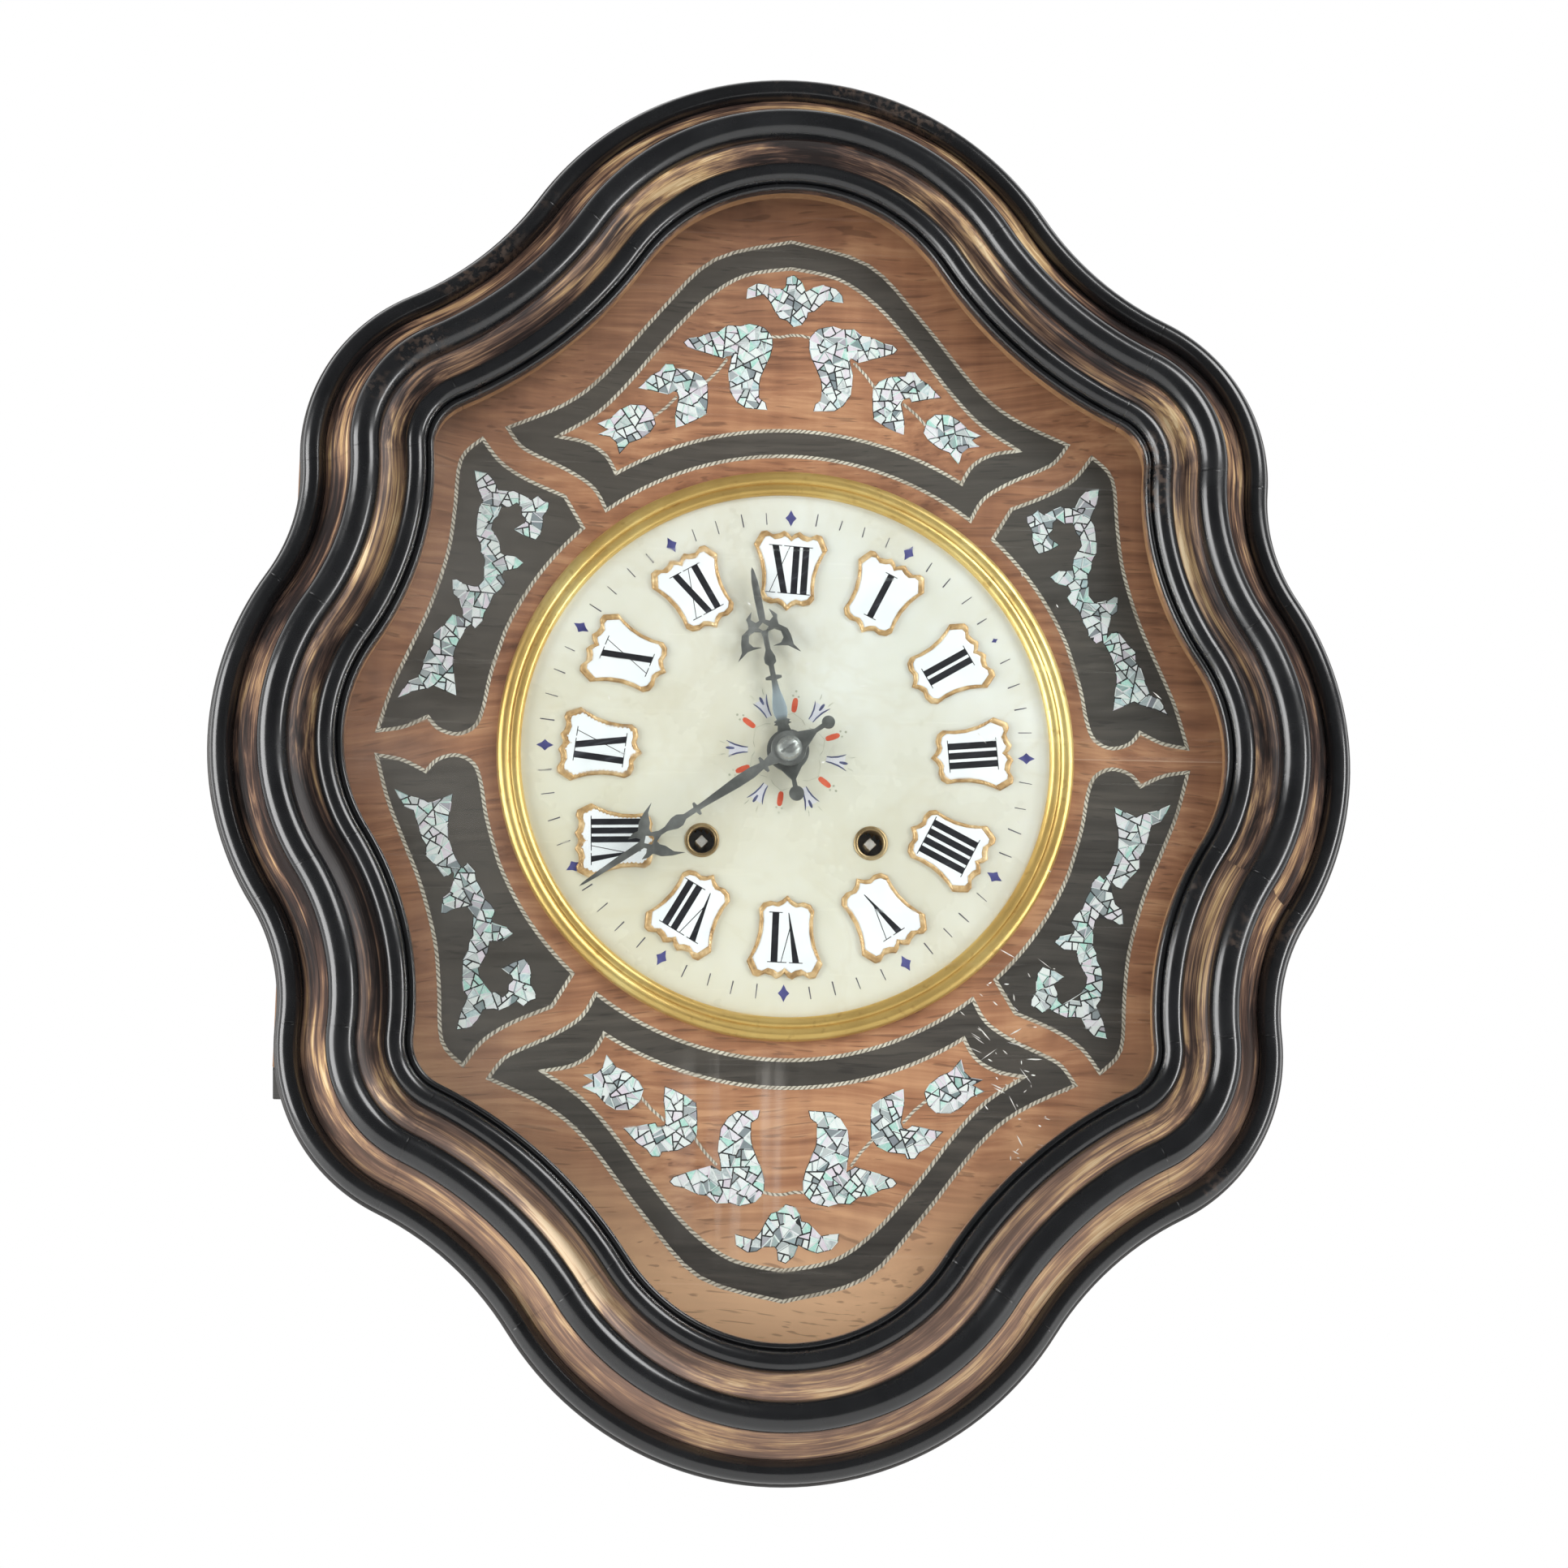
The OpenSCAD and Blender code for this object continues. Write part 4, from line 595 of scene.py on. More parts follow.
# the right side of the outer hollow and the upper left are browner, the lower part of the frame paler
rightUpper = times(eased(places[0], 0.08, 0.2), eased(places[2], -0.08, 0.06))
outerOnly = remap(inward, 0.026, 0.024)
leftUpper = times(eased(places[0], -0.04, -0.18), eased(places[2], -0.12, 0.06))
gold = minus(gold, times(leftUpper, 0.13))
gold = minus(gold, times(times(rightUpper, outerOnly), 0.2))
lower = eased(places[2], -0.1, -0.24)
gold = plus(gold, times(lower, 0.1))


def besideRails(inward, low, high, soft):
    rise = eased(inward, low * mm, (low + soft) * mm)
    fall = eased(inward, (high - soft) * mm, high * mm, 1.0, 0.0)
    return times(rise, fall)


# painted shade: the gilt is darkened next to each rail, in the creases of the hollows; these masks are 1 only in the
# open middle of each hollow
open1 = besideRails(inward, 11.2, 25.4, 2.4)
open2 = besideRails(inward, 37.2, 49.4, 2.0)
clearOfRailShade = calc("MAXIMUM", open1, open2)
gold = plus(gold, remap(clearOfRailShade, 0, 1, -0.26, 0.0))
giltTone = toned(gold, [(0.14, (38, 29, 27)), (0.32, (78, 58, 50)), (0.44, (118, 91, 74)), (0.55, (160, 127, 98)),
                        (0.68, (208, 172, 124)), (0.84, (240, 216, 172))])
giltTone = mixed(times(lower, 0.34), giltTone, (184, 152, 134))
# gold on the front, black on the outer edge and under the outer rail
front = remap(axes(spot)[1], -0.1085, -0.1092)
covered = times(front, remap(inward, 11.4 * mm, 12.2 * mm))
blackTone = toned(noise(spot, 40.0), [(0.35, (24, 23, 23)), (0.7, (44, 40, 38))])
shade = mixed(covered, blackTone, giltTone)
specks = useEffect(chips, Vector=spot, Scale=360.0, Amount=0.02)["Mask"]
shade = mixed(times(specks, 0.6), shade, (214, 200, 175))
shade = mixed(times(glueLines(0.0004), 0.15), shade, (30, 22, 18))
feed(shade, "Base Color")
shine = times(remap(gold, 0.4, 0.75), covered)
feed(times(shine, 0.12), "Metallic")
feed(remap(shine, 0, 1, 0.44, 0.33), "Roughness")
bumped(plus(times(streaks, 0.7), times(fine, 0.4)), 0.4, 0.0007)

dress(frameBase, giltBase, "door", "gilt_wood", "frame_base")
dress(outerRail, ebonised, "door", "ebonised", "outer_rail")
dress(middleRail, ebonised, "door", "ebonised", "middle_rail")
dress(innerRail, ebonised, "door", "ebonised", "inner_rail")

print("stage: glass")
glassFinish = newFinish("doorGlass", Transmission_Weight=1.0, IOR=1.5)
spot = placed()
feed(toned(noise(spot, 4.0), [(0.3, (250, 252, 251)), (0.7, (244, 250, 248))]), "Base Color")
scratches = useEffect(fineScratches, Vector=spot, Scale=220.0, Amount=0.1)["Lines"]
feed(times(scratches, 0.2), "Roughness")
# painted reflection: a faint milky diffuse film stands in for the glass's reflections, in upright streaks low in the
# middle and a bloom to the left
paintedReflectionColour = (236, 232, 226)
places = axes(spot)
upright = remap(noise(placed((90, 1, 5)), 1.0, 4.0), 0.46, 0.66)
lowMiddle = times(eased(places[2], -0.13, -0.155), eased(calc("ABSOLUTE", plus(places[0], 0.022)), 0.035, 0.006))
lowMiddle = times(lowMiddle, eased(places[2], -0.235, -0.19))
bloom = times(eased(places[0], -0.08, -0.19), remap(noise(spot, 9.0, 4.0), 0.35, 0.65))
paintedReflection = plus(times(times(upright, lowMiddle), 0.1), times(bloom, 0.045))
reflectionFilm = addNode("BsdfDiffuse", {"Color": colour(*paintedReflectionColour)})
withPaintedReflection = addNode("MixShader", {0: paintedReflection, 1: shader.outputs[0], 2: reflectionFilm.outputs[0]})
rays = addNode("LightPath")
passing = calc("MAXIMUM", rays.outputs["Is Shadow Ray"], rays.outputs["Is Diffuse Ray"])
clear = addNode("BsdfTransparent")
joined = addNode("MixShader", {0: passing, 1: withPaintedReflection.outputs[0], 2: clear.outputs[0]})
tree.links.new(joined.outputs[0], tree.nodes["Material Output"].inputs["Surface"])
dressNode("door_glass", glassFinish)

# old scratches and flecks on the glass, most of them low on the right
fleckValues = {"level": 117.99, "count": 84, "around": [(96, -118, 26), (100, -150, 24), (112, -178, 24),
                                                        (60, 20, 110)]}
chance = random.Random(21)
flecks = []
for i in range(fleckValues["count"]):
    x, z, spread = fleckValues["around"][min(i // 24, 3)]
    x, z = x + chance.gauss(0, 0.5) * spread, z + chance.gauss(0, 0.5) * spread
    way = radians(chance.gauss(-35, 35))
    long, wide = chance.choice([0.6, 0.9, 1.4, 3.6]) * chance.uniform(0.7, 1.3), chance.uniform(0.14, 0.34)
    ring = [(-long, 0), (-long * 0.3, wide), (long * 0.6, wide * 0.7), (long, 0), (long * 0.2, -wide)]
    flecks.append([at(x + a * cos(way) - b * sin(way), z + a * sin(way) + b * cos(way), fleckValues["level"])
                   for a, b in ring])
fleckFinish = cloudedFinish("glassFleck", 0.6, 300.0, 2.0, [(0.4, (196, 194, 188)), (0.6, (238, 238, 234))])
dress(flatPiece("glassFlecks", flecks), fleckFinish, "door", "glass")

print("stage: panel")
panelValues = {"face": 98.9, "stringWidth": 1.65, "stringStep": 2.5, "stringRise": 0.06, "bedRise": 0.03}


def onPanel(points, rise):
    return [at(p.x, p.y, panelValues["face"] + rise) for p in points]


def smoothLine(points, steps=4):
    made = []
    for i in range(len(points) - 1):
        a, b, c, d = [Vector(points[min(max(j, 0), len(points) - 1)]) for j in (i - 1, i, i + 1, i + 2)]
        for k in range(steps):
            t = k / steps
            made.append(0.5 * (2 * b + (c - a) * t + (2 * a - 5 * b + 4 * c - d) * t ** 2 +
                               (3 * b - a - 3 * c + d) * t ** 3))
    return made


def roundDial(radius, fromAngle, toAngle, steps):
    angles = [fromAngle + (toAngle - fromAngle) * i / steps for i in range(steps + 1)]
    return [Vector((radius * cos(a), radius * sin(a))) for a in angles]


def bandOutline(top, side, radius):
    ending = atan2(side[-1][1], side[-1][0])
    half = smoothLine(top) + smoothLine(side) + roundDial(radius, ending, pi / 2, 14)
    return half + [Vector((-p.x, p.y)) for p in reversed(half[1:-1])]


bandOuter = bandOutline([(0, 242.8), (36, 232.7), (61, 206.4), (86, 175), (104, 160), (129.8, 148)],
                        [(129.8, 148), (124, 140), (117, 135.6), (102, 128.7), (90, 120.7), (84, 110.5)], 138.5)
bandInner = bandOutline([(0, 229.6), (22, 225.3), (40, 213), (58, 193), (76, 170), (90, 155.5), (107, 144.5)],
                        [(107, 144.5), (94.5, 142.3), (85, 136.6), (79.5, 127.3)], 150.7)
kidneyOutline = (smoothLine([(141, 142.5), (150.5, 132), (152.5, 108.5), (155, 88), (162, 63.5), (171, 42), (178, 25),
                             (183.5, 5.5)]) + smoothLine([(183.5, 5.5), (172, 7.5), (161.5, 12.5)]) +
                 smoothLine([(161.5, 12.5), (156.5, 7), (148, 4.8), (140.5, 8.5), (137, 17), (134, 33), (128, 53)]) +
                 roundDial(138.5, atan2(53, 128), atan2(102, 94.5), 10) +
                 smoothLine([(103, 116.3), (120, 123.5), (132.5, 131.5), (141, 142.5)]))


def flipped(points, sideX, sideZ):
    return [Vector((p[0] * sideX, p[1] * sideZ)) for p in points]


def beside(points, distance):
    # the closed outline moved sideways by the distance
    moved = []
    for i, here in enumerate(points):
        before, after = points[i - 1], points[(i + 1) % len(points)]
        one, two = here - before, after - here
        one, two = (one if one.length > 1e-6 else two).normalized(), (two if two.length > 1e-6 else one).normalized()
        normal = Vector((one.y + two.y, -one.x - two.x))
        normal = normal.normalized() if normal.length > 1e-3 else Vector((one.y, -one.x))
        moved.append(here + normal * distance / max(0.5, normal.dot(Vector((one.y, -one.x)))))
    return moved


def dense(points, spacing):
    made = []
    for i, here in enumerate(points):
        after = points[(i + 1) % len(points)]
        count = max(1, round((after - here).length / spacing))
        made += [here + (after - here) * k / count for k in range(count)]
    return made


def inlaidString(name, outlines, width):
    # a twisted string of veneer let in along each outline, with a map that runs along it
    startPiece(name)
    runs = []
    for outline in outlines:
        line = dense(outline, panelValues["stringStep"])
        outer, inner = beside(line, width / 2), beside(line, -width / 2)
        layShape(onPanel(outer, panelValues["stringRise"]), filled=False)
        layShape(onPanel(inner, panelValues["stringRise"]), filled=False)
        runs.append((bridgeLast(2 * len(line)), line))
    string = closePiece()
    mesh = string.data
    where = {}
    for start, line in runs:
        travelled = 0.0
        for i, p in enumerate(line):
            where[start + i] = (travelled, 1.0, start)
            where[start + len(line) + i] = (travelled, 0.0, start)
            travelled += (line[(i + 1) % len(line)] - p).length
        where[("way", start)] = travelled
    layer = mesh.uv_layers.new(name="along")
    for face in mesh.polygons:
        corners = [where[mesh.loops[i].vertex_index] for i in face.loop_indices]
        wraps = max(c[0] for c in corners) - min(c[0] for c in corners) > 10
        for i, corner in zip(face.loop_indices, corners):
            travelled = corner[0] + (where[("way", corner[2])] if wraps and corner[0] < 10 else 0)
            layer.data[i].uv = (travelled * mm, corner[1] * width * mm)
        if face.normal.y > 0:
            face.flip()
    return string


stringOutlines = []
for up in (1, -1):
    stringOutlines += [flipped(bandOuter, 1, up), flipped(bandInner, 1, up)]
    stringOutlines += [flipped(kidneyOutline, side, up) for side in (1, -1)]
stringing = inlaidString("stringing", stringOutlines, panelValues["stringWidth"])

veneer = newFinish("burrVeneer", Coat_Weight=0.25, Coat_Roughness=0.2)
spot = placed()
wood = useEffect(woodFigure, Vector=spot, Scale=7.0, Waver=0.5)
ripple = noise(placed((60, 10, 6)), 1.0, 3.0)
marks = axes(spot)
tone = plus(times(wood["Figure"], 0.38), times(wood["Fibre"], 0.4))
tone = plus(tone, times(ripple, 0.22))
fromMiddle = addNode("VectorMath", {0: spot}, operation="LENGTH").outputs[1]
# painted light: the veneer is lightened towards the frame, against the shade the rails cast there
tone = plus(tone, remap(fromMiddle, 0.13, 0.27, 0.02, 0.05))
# painted light: the veneer is lighter towards the bottom
tone = plus(tone, remap(marks[2], 0.05, -0.2, 0.0, 0.05))
shade = toned(tone, [(0.36, (96, 62, 44)), (0.46, (137, 91, 65)), (0.56, (168, 116, 83)), (0.68, (202, 151, 111))])
shade = mixed(remap(noise(spot, 5.0, 3.0), 0.4, 0.7, 0.0, 0.22), shade, (118, 82, 62))
# painted reflection: the veneer is greyer towards the frame on the left, where the glass reflects light
paintedGlassReflection = times(eased(fromMiddle, 0.15, 0.26), eased(marks[0], 0.06, -0.1))
shade = mixed(times(paintedGlassReflection, 0.38), shade, (132, 104, 86))
# painted light: the foot of the veneer is pale, where the light and the glass's reflection fall
paintedLightAtFoot = times(eased(fromMiddle, 0.215, 0.275), eased(marks[2], -0.06, -0.17))
shade = mixed(times(paintedLightAtFoot, 0.85), shade, (240, 196, 154))
shade = mixed(times(wood["Pores"], 0.4), shade, (70, 44, 32))
jointLine = calc("LESS_THAN", calc("ABSOLUTE", plus(marks[2], 0.0006)), 0.00022)
jointLine = times(jointLine, calc("GREATER_THAN", marks[0], 0.13))
shade = mixed(times(jointLine, 0.6), shade, (205, 170, 145))
feed(shade, "Base Color")
feed(remap(wood["Fibre"], 0.3, 0.7, 0.34, 0.46), "Roughness")
bumped(minus(wood["Fibre"], wood["Pores"]), 0.16, 0.0002)
dressNode("marquetry_panel", veneer)

darkField = newFinish("ebonisedField", Coat_Weight=0.25, Coat_Roughness=0.25)
spot = placed()
wood = useEffect(woodFigure, Vector=spot, Scale=9.0, Waver=0.3)
tone = plus(times(wood["Figure"], 0.5), times(wood["Fibre"], 0.5))
shade = toned(tone, [(0.32, (42, 38, 34)), (0.5, (61, 56, 51)), (0.7, (82, 75, 67))])
marks = axes(spot)
# painted reflection: the field is greyer and paler towards the upper left, where the glass reflects light
corner = minus(marks[2], marks[0])
shade = mixed(remap(corner, -0.28, 0.28, 0.0, 0.36), shade, (94, 87, 78))
shade = mixed(times(wood["Pores"], 0.4), shade, (30, 28, 26))
feed(shade, "Base Color")
feed(remap(wood["Fibre"], 0.3, 0.7, 0.36, 0.5), "Roughness")
bumped(minus(wood["Fibre"], wood["Pores"]), 0.1, 0.0002)
dressNode("inlay_fields", darkField)

twisted = newFinish("twistedString", Roughness=0.42, Coat_Weight=0.2, Coat_Roughness=0.25)
flow = addNode("UVMap", uv_map="along").outputs[0]
parts = axes(flow)
slant = plus(times(parts[0], 420), times(parts[1], 480))
slant = plus(slant, times(noise(placed(), 180.0, 3.0), 1.6))
strand = calc("PINGPONG", slant, 0.5)
shade = toned(strand, [(0.03, (84, 76, 66)), (0.16, (170, 162, 145)), (0.36, (222, 216, 200))])
shade = mixed(remap(noise(placed(), 60.0, 4.0), 0.4, 0.7, 0, 0.55), shade, (120, 108, 92))
feed(shade, "Base Color")
bumped(strand, 0.3, 0.0003)
dress(stringing, twisted, "case", "veneer")

print("stage: shell inlay")
shellValues = {"shard": 14.5, "least": 1.2, "gap": 0.33, "round": 0.65, "rise": 0.22, "lean": 0.06, "linkWide": 1.3,
               "mostCracks": 2600}
shellCentre = [(-21, 214), (-20.5, 219), (-15.5, 222), (-11.5, 221.5), (-8.7, 219.6), (-3.8, 219.5), (-2.7, 220.8),
               (-2.3, 225.3), (1.2, 226.6), (4.7, 223.6), (6.7, 218.7), (10, 220.6), (15, 222.2), (21, 220.6),
               (24, 217.2), (24.5, 213.7), (20, 214), (16.5, 214.6), (11, 209), (8, 208.3), (7.5, 205.8), (5, 202.2),
               (1, 201), (-2, 204), (-5.4, 205), (-8, 209), (-10, 213), (-13, 216.4), (-16, 215.4)]
shellLeaves = [(8.5, 195.5), (9.5, 197.3), (12.5, 200.4), (16, 201.5), (19.5, 202.1), (23.5, 200.8), (29.3, 201),
               (33.3, 197.8), (37.2, 197.4), (43.2, 194.6), (48, 193.7), (50, 191.8), (48.3, 189.7), (43.4, 188),
               (37.4, 186.3), (31.5, 184.6), (27.5, 187), (28, 182.8), (29, 178.8), (28.6, 173.7), (28, 168.7),
               (24.6, 163.5), (20.7, 160.9), (10.6, 160.4), (11.5, 164), (14.5, 166.1), (14.5, 172.2), (14, 175.7),
               (11.4, 182.2), (9.6, 186.1), (8.4, 191.1)]
shellSmall = [(38.5, 172.6), (41, 175.7), (46.5, 178.4), (53.4, 179.1), (54.4, 181.2), (57.9, 181.1), (60.4, 177.9),
              (64.4, 175.5), (68.4, 171.1), (70.6, 169), (64.5, 168), (56.5, 166.3), (55.5, 168.2), (52.6, 167.6),
              (51.7, 165.1), (52.7, 160.1), (53.2, 157.1), (52.8, 150.5), (48.8, 151.9), (43.8, 154.3), (38.8, 157.6),
              (38.2, 162.7), (38.2, 167.7)]
shellEnd = [(62, 152), (63.5, 157.5), (67.5, 161), (74, 161), (78.5, 158.5), (83, 154), (89, 151.2), (84, 148.5),
            (88.5, 146), (83, 145.2), (80, 142.5), (78.5, 137), (74, 142.5), (69, 144.5), (64.5, 148)]
shellScroll = [(144.4, 127.2), (138.1, 126), (135.1, 122.8), (132.9, 118.2), (128.3, 117.8), (126.2, 118.3),
               (120.7, 115.9), (118.2, 114.2), (115.2, 116.3), (112.4, 113.9), (109.9, 113.1), (110.2, 110.1),
               (112.5, 106.3), (112.5, 102), (113.4, 98.1), (115.5, 95.2), (120.5, 97), (125.4, 99.9), (121.1, 103),
               (120.3, 104.8), (122.3, 106.8), (122.4, 110.3), (124.6, 112.3), (127.9, 110.1), (131.6, 110.4),
               (133.2, 105.7), (134.8, 103.9), (135.5, 99.9), (133.8, 97.1), (131.6, 92.8), (130.9, 88.1),
               (125.2, 87.7), (120.8, 84.3), (123.4, 81.7), (129.6, 80.2), (130.3, 77.7), (128.6, 75.2), (130.6, 71.7),
               (133.8, 69), (135.7, 63.9), (137.7, 60.5), (138.3, 57.1), (141.9, 53.3), (144, 55.4), (146.4, 52),
               (148.7, 47.4), (150.6, 42.3), (150.9, 37.3), (150.6, 33.1), (149.1, 22.3), (154.6, 24.7), (159.2, 26.7),
               (161.8, 25.2), (168.9, 23.5), (175, 20.7), (172.7, 25), (170.6, 28.4), (166.5, 30.2), (165, 34.4),
               (162.4, 42.7), (160.4, 45.2), (160.2, 50.3), (155.8, 54.6), (151.8, 59.8), (149.3, 58.9), (147.1, 56.4),
               (147.7, 61.5), (149.1, 66.6), (152.1, 69), (152.5, 75.8), (150.6, 76.2), (147.6, 74.2), (142.6, 73),
               (140.9, 73.1), (138.6, 76.1), (138.7, 80.4), (138.4, 85.5), (140.2, 88.8), (140.4, 92.2), (142.5, 96.4),
               (142.7, 101.5), (142.4, 105.8), (141.7, 110.1), (139.9, 112.7), (141, 115.3), (142.8, 119.5),
               (143.8, 123.7)]
vineLinks = [((0, 197), (9, 196)), ((29.5, 184.5), (39.5, 172.5)), ((52.5, 165.5), (63, 155.5))]
shellShapes, links = [], []
for up in (1, -1):
    shellShapes.append(flipped(shellCentre, 1, up))
    for side in (1, -1):
        shellShapes += [flipped(s, side, up) for s in (shellLeaves, shellSmall, shellEnd, shellScroll)]
        links += [flipped(link, side, up) for link in vineLinks]

shellBed = flatPiece("shellBed", [onPanel(shape, panelValues["bedRise"]) for shape in shellShapes])


def brokenShell(name, shapes, values, seed):
    # each outline is cracked across again and again, then every shard is drawn in a little and leans its own way
    chance = random.Random(seed)
    startPiece(name)
    for shape in shapes:
        layShape(onPanel(shape, values["rise"]))
    data = bpy.context.edit_object.data
    for _ in range(values["mostCracks"]):
        mesh = bmesh.from_edit_mesh(data)
        piece = max(mesh.faces, key=lambda face: face.calc_area())
        if piece.calc_area() / mm ** 2 < values["shard"] * chance.uniform(0.85, 1.3):
            break
        bpy.ops.mesh.select_all(action="DESELECT")
        piece.select_set(True)
        places = [corner.co.copy() for corner in piece.verts]
        first, last = max(((p, q) for p in places for q in places), key=lambda pair: (pair[0] - pair[1]).length)
        across = (last - first).normalized()
        across = across + Vector((across.z, 0, -across.x)) * chance.uniform(-0.9, 0.9)
        bmesh.update_edit_mesh(data)
        bpy.ops.mesh.bisect(plane_co=first.lerp(last, chance.uniform(0.38, 0.62)), plane_no=across)
    bpy.ops.mesh.select_all(action="SELECT")
    bpy.ops.mesh.inset(thickness=values["gap"] * mm, use_individual=True)
    bpy.ops.mesh.select_all(action="INVERT")
    bpy.ops.mesh.delete(type="FACE")
    bpy.ops.mesh.select_all(action="SELECT")
    bpy.ops.mesh.bevel(offset=values["round"] * mm, affect="VERTICES", clamp_overlap=True)
    mesh = bmesh.from_edit_mesh(data)
    tint = mesh.loops.layers.float_color.new("shardTone")
    for shard in mesh.faces:
        shard.select_set(shard.calc_area() / mm ** 2 < values["least"])
        tone = (chance.random(), chance.random(), chance.random(), 1)
        centre = shard.calc_center_median()
        lean = Vector((chance.uniform(-1, 1), 0, chance.uniform(-1, 1))) * values["lean"]
        for loop in shard.loops:
            loop[tint] = tone
            loop.vert.co.y -= (loop.vert.co - centre).dot(lean)
    bmesh.update_edit_mesh(data)
    bpy.ops.mesh.delete(type="FACE")
    return closePiece()


shellShards = brokenShell("shellShards", shellShapes, shellValues, 7)

rings = []
for a, b in links:
    off = Vector((a.y - b.y, b.x - a.x)).normalized() * shellValues["linkWide"] / 2
    bow = a.lerp(b, 0.5) + off * 0.8
    rings.append(onPanel([a - off, bow - off, b - off, b + off, bow + off, a + off], panelValues["stringRise"]))
vine = flatPiece("vineLinks", rings)
layer = vine.data.uv_layers.new(name="along")
for face in vine.data.polygons:
    a, b = links[face.index]
    way = (b - a).normalized()
    for i in face.loop_indices:
        co = vine.data.vertices[vine.data.loops[i].vertex_index].co / mm
        reach = Vector((co.x, co.z)) - a
        layer.data[i].uv = (reach.dot(way) * mm, reach.dot(Vector((-way.y, way.x))) * mm)
dress(vine, twisted, "case", "veneer")

shell = newFinish("mottledShell", Coat_Weight=0.6, Coat_Roughness=0.08)
tones = addNode("SeparateColor", {0: addNode("Attribute", attribute_name="shardTone").outputs["Color"]})
sheen = noise(placed((300, 300, 300)), 1.0, 3.0, 0.6, 1.2)
pick = plus(times(tones.outputs[0], 0.8), times(sheen, 0.26))
shade = toned(pick, [(0.1, (150, 164, 168)), (0.2, (232, 238, 236)), (0.42, (240, 245, 242)), (0.52, (172, 224, 210)),
                     (0.6, (236, 242, 240)), (0.72, (228, 214, 226)), (0.84, (238, 244, 244)), (0.98, (160, 196, 200))])
shade = mixed(remap(tones.outputs[1], 0.68, 0.95, 0, 0.85), shade, (112, 124, 130))
feed(shade, "Base Color")
feed(remap(sheen, 0.3, 0.7, 0.12, 0.28), "Roughness")
bumped(sheen, 0.25, 0.0003)
dress(shellShards, shell, "case", "veneer")
mastic = cloudedFinish("darkMastic", 0.6, 300.0, 3.0, [(0.3, (16, 18, 20)), (0.7, (40, 41, 42))])
dress(shellBed, mastic, "case", "veneer")

print("stage: bezel and dial")


def turned(name, profile, steps=64, centre=(0, 0)):
    # a profile of radius and distance from the wall, turned round an axis through the centre
    points = [at(centre[0] + radius, centre[1], out) for radius, out in profile]
    return spunPiece(name, points, [(steps, 2 * pi, at(centre[0], centre[1], 0), (0, 1, 0))], 0.004)


dialValues = {"face": 98.9, "bezelIn": 119.7, "bezelOut": 130.5, "plaqueRing": 83, "windingAt": [(38, -41), (-38, -41)],
              "windingHole": 5.8}


def bezelProfile(v):
    # two gentle bands side by side with a groove between them
    outside, inside = v["bezelOut"], v["bezelIn"]
    outerBand = smoothLine([(outside, 2.2), (outside - 0.7, 3.8), (outside - 2.9, 5), (outside - 4.6, 4.7),
                            (outside - 5.7, 4)], 5)
    innerBand = smoothLine([(outside - 6.1, 3.3), (outside - 7, 3.75), (outside - 8.3, 3.9), (outside - 9.7, 3.3),
                            (inside + 0.1, 2.2)], 5)
    band = [(p.x, v["face"] + p.y) for p in outerBand + innerBand]
    return [(outside, v["face"])] + band + [(inside, v["face"] + 2), (inside, v["face"])]


dialBezel = turned("dialBezel", bezelProfile(dialValues), 180)
bezelBrass = metalFinish("bezelBrass", (188, 148, 80), (222, 186, 110), (248, 228, 156), 0.3, 0.1, 10.0, 260.0, 0.02,
                         0.66)
eyeletBrass = metalFinish("eyeletBrass", (120, 98, 66), (172, 146, 106), (214, 192, 150), 0.34, 0.2, 60.0, metallic=0.7)
dress(dialBezel, bezelBrass, "case", "brass", "bezel")

alabaster = newFinish("alabaster", Roughness=0.3, Subsurface_Weight=0.12, Subsurface_Scale=0.004,
                      Subsurface_Radius=(1.0, 0.8, 0.5))
spot = placed()
cloud = noise(spot, 14.0, 5.0, 0.6)
veins = noise(spot, 9.0, 6.0, 0.6, 1.6)
veins = calc("ABSOLUTE", minus(veins, 0.5))
shade = toned(cloud, [(0.32, (212, 209, 193)), (0.5, (222, 221, 209)), (0.68, (230, 231, 224))])
shade = mixed(remap(veins, 0.0, 0.035, 0.14, 0.0), shade, (196, 184, 154))
marks = axes(spot)
shade = mixed(remap(plus(marks[0], marks[2]), -0.15, 0.1, 0.35, 0.0), shade, (226, 216, 178))
stains = useEffect(chips, Vector=spot, Scale=150.0, Amount=0.03)["Mask"]
shade = mixed(times(stains, 0.18), shade, (150, 132, 100))
feed(shade, "Base Color")
feed(remap(cloud, 0.3, 0.7, 0.22, 0.36), "Roughness")
bumped(noise(spot, 120.0, 3.0), 0.05, 0.0003)
dressNode("dial_plate", alabaster)

for number, (x, z) in enumerate(dialValues["windingAt"]):
    hole, face = dialValues["windingHole"], dialValues["face"]
    lip = [(hole + 0.98 + 0.98 * cos(a), face + 0.02 + 0.78 * sin(a)) for a in [radians(d) for d in range(0, 181, 20)]]
    eyelet = turned("dialEyelet" + str(number + 1), [(hole + 1.18, 91.95), (hole + 1.18, face)] + lip + [(hole, 91.95)],
                    centre=(x, z))
    dress(eyelet, eyeletBrass, "case", "brass", *(["dial_grommets"] if number == 0 else []))

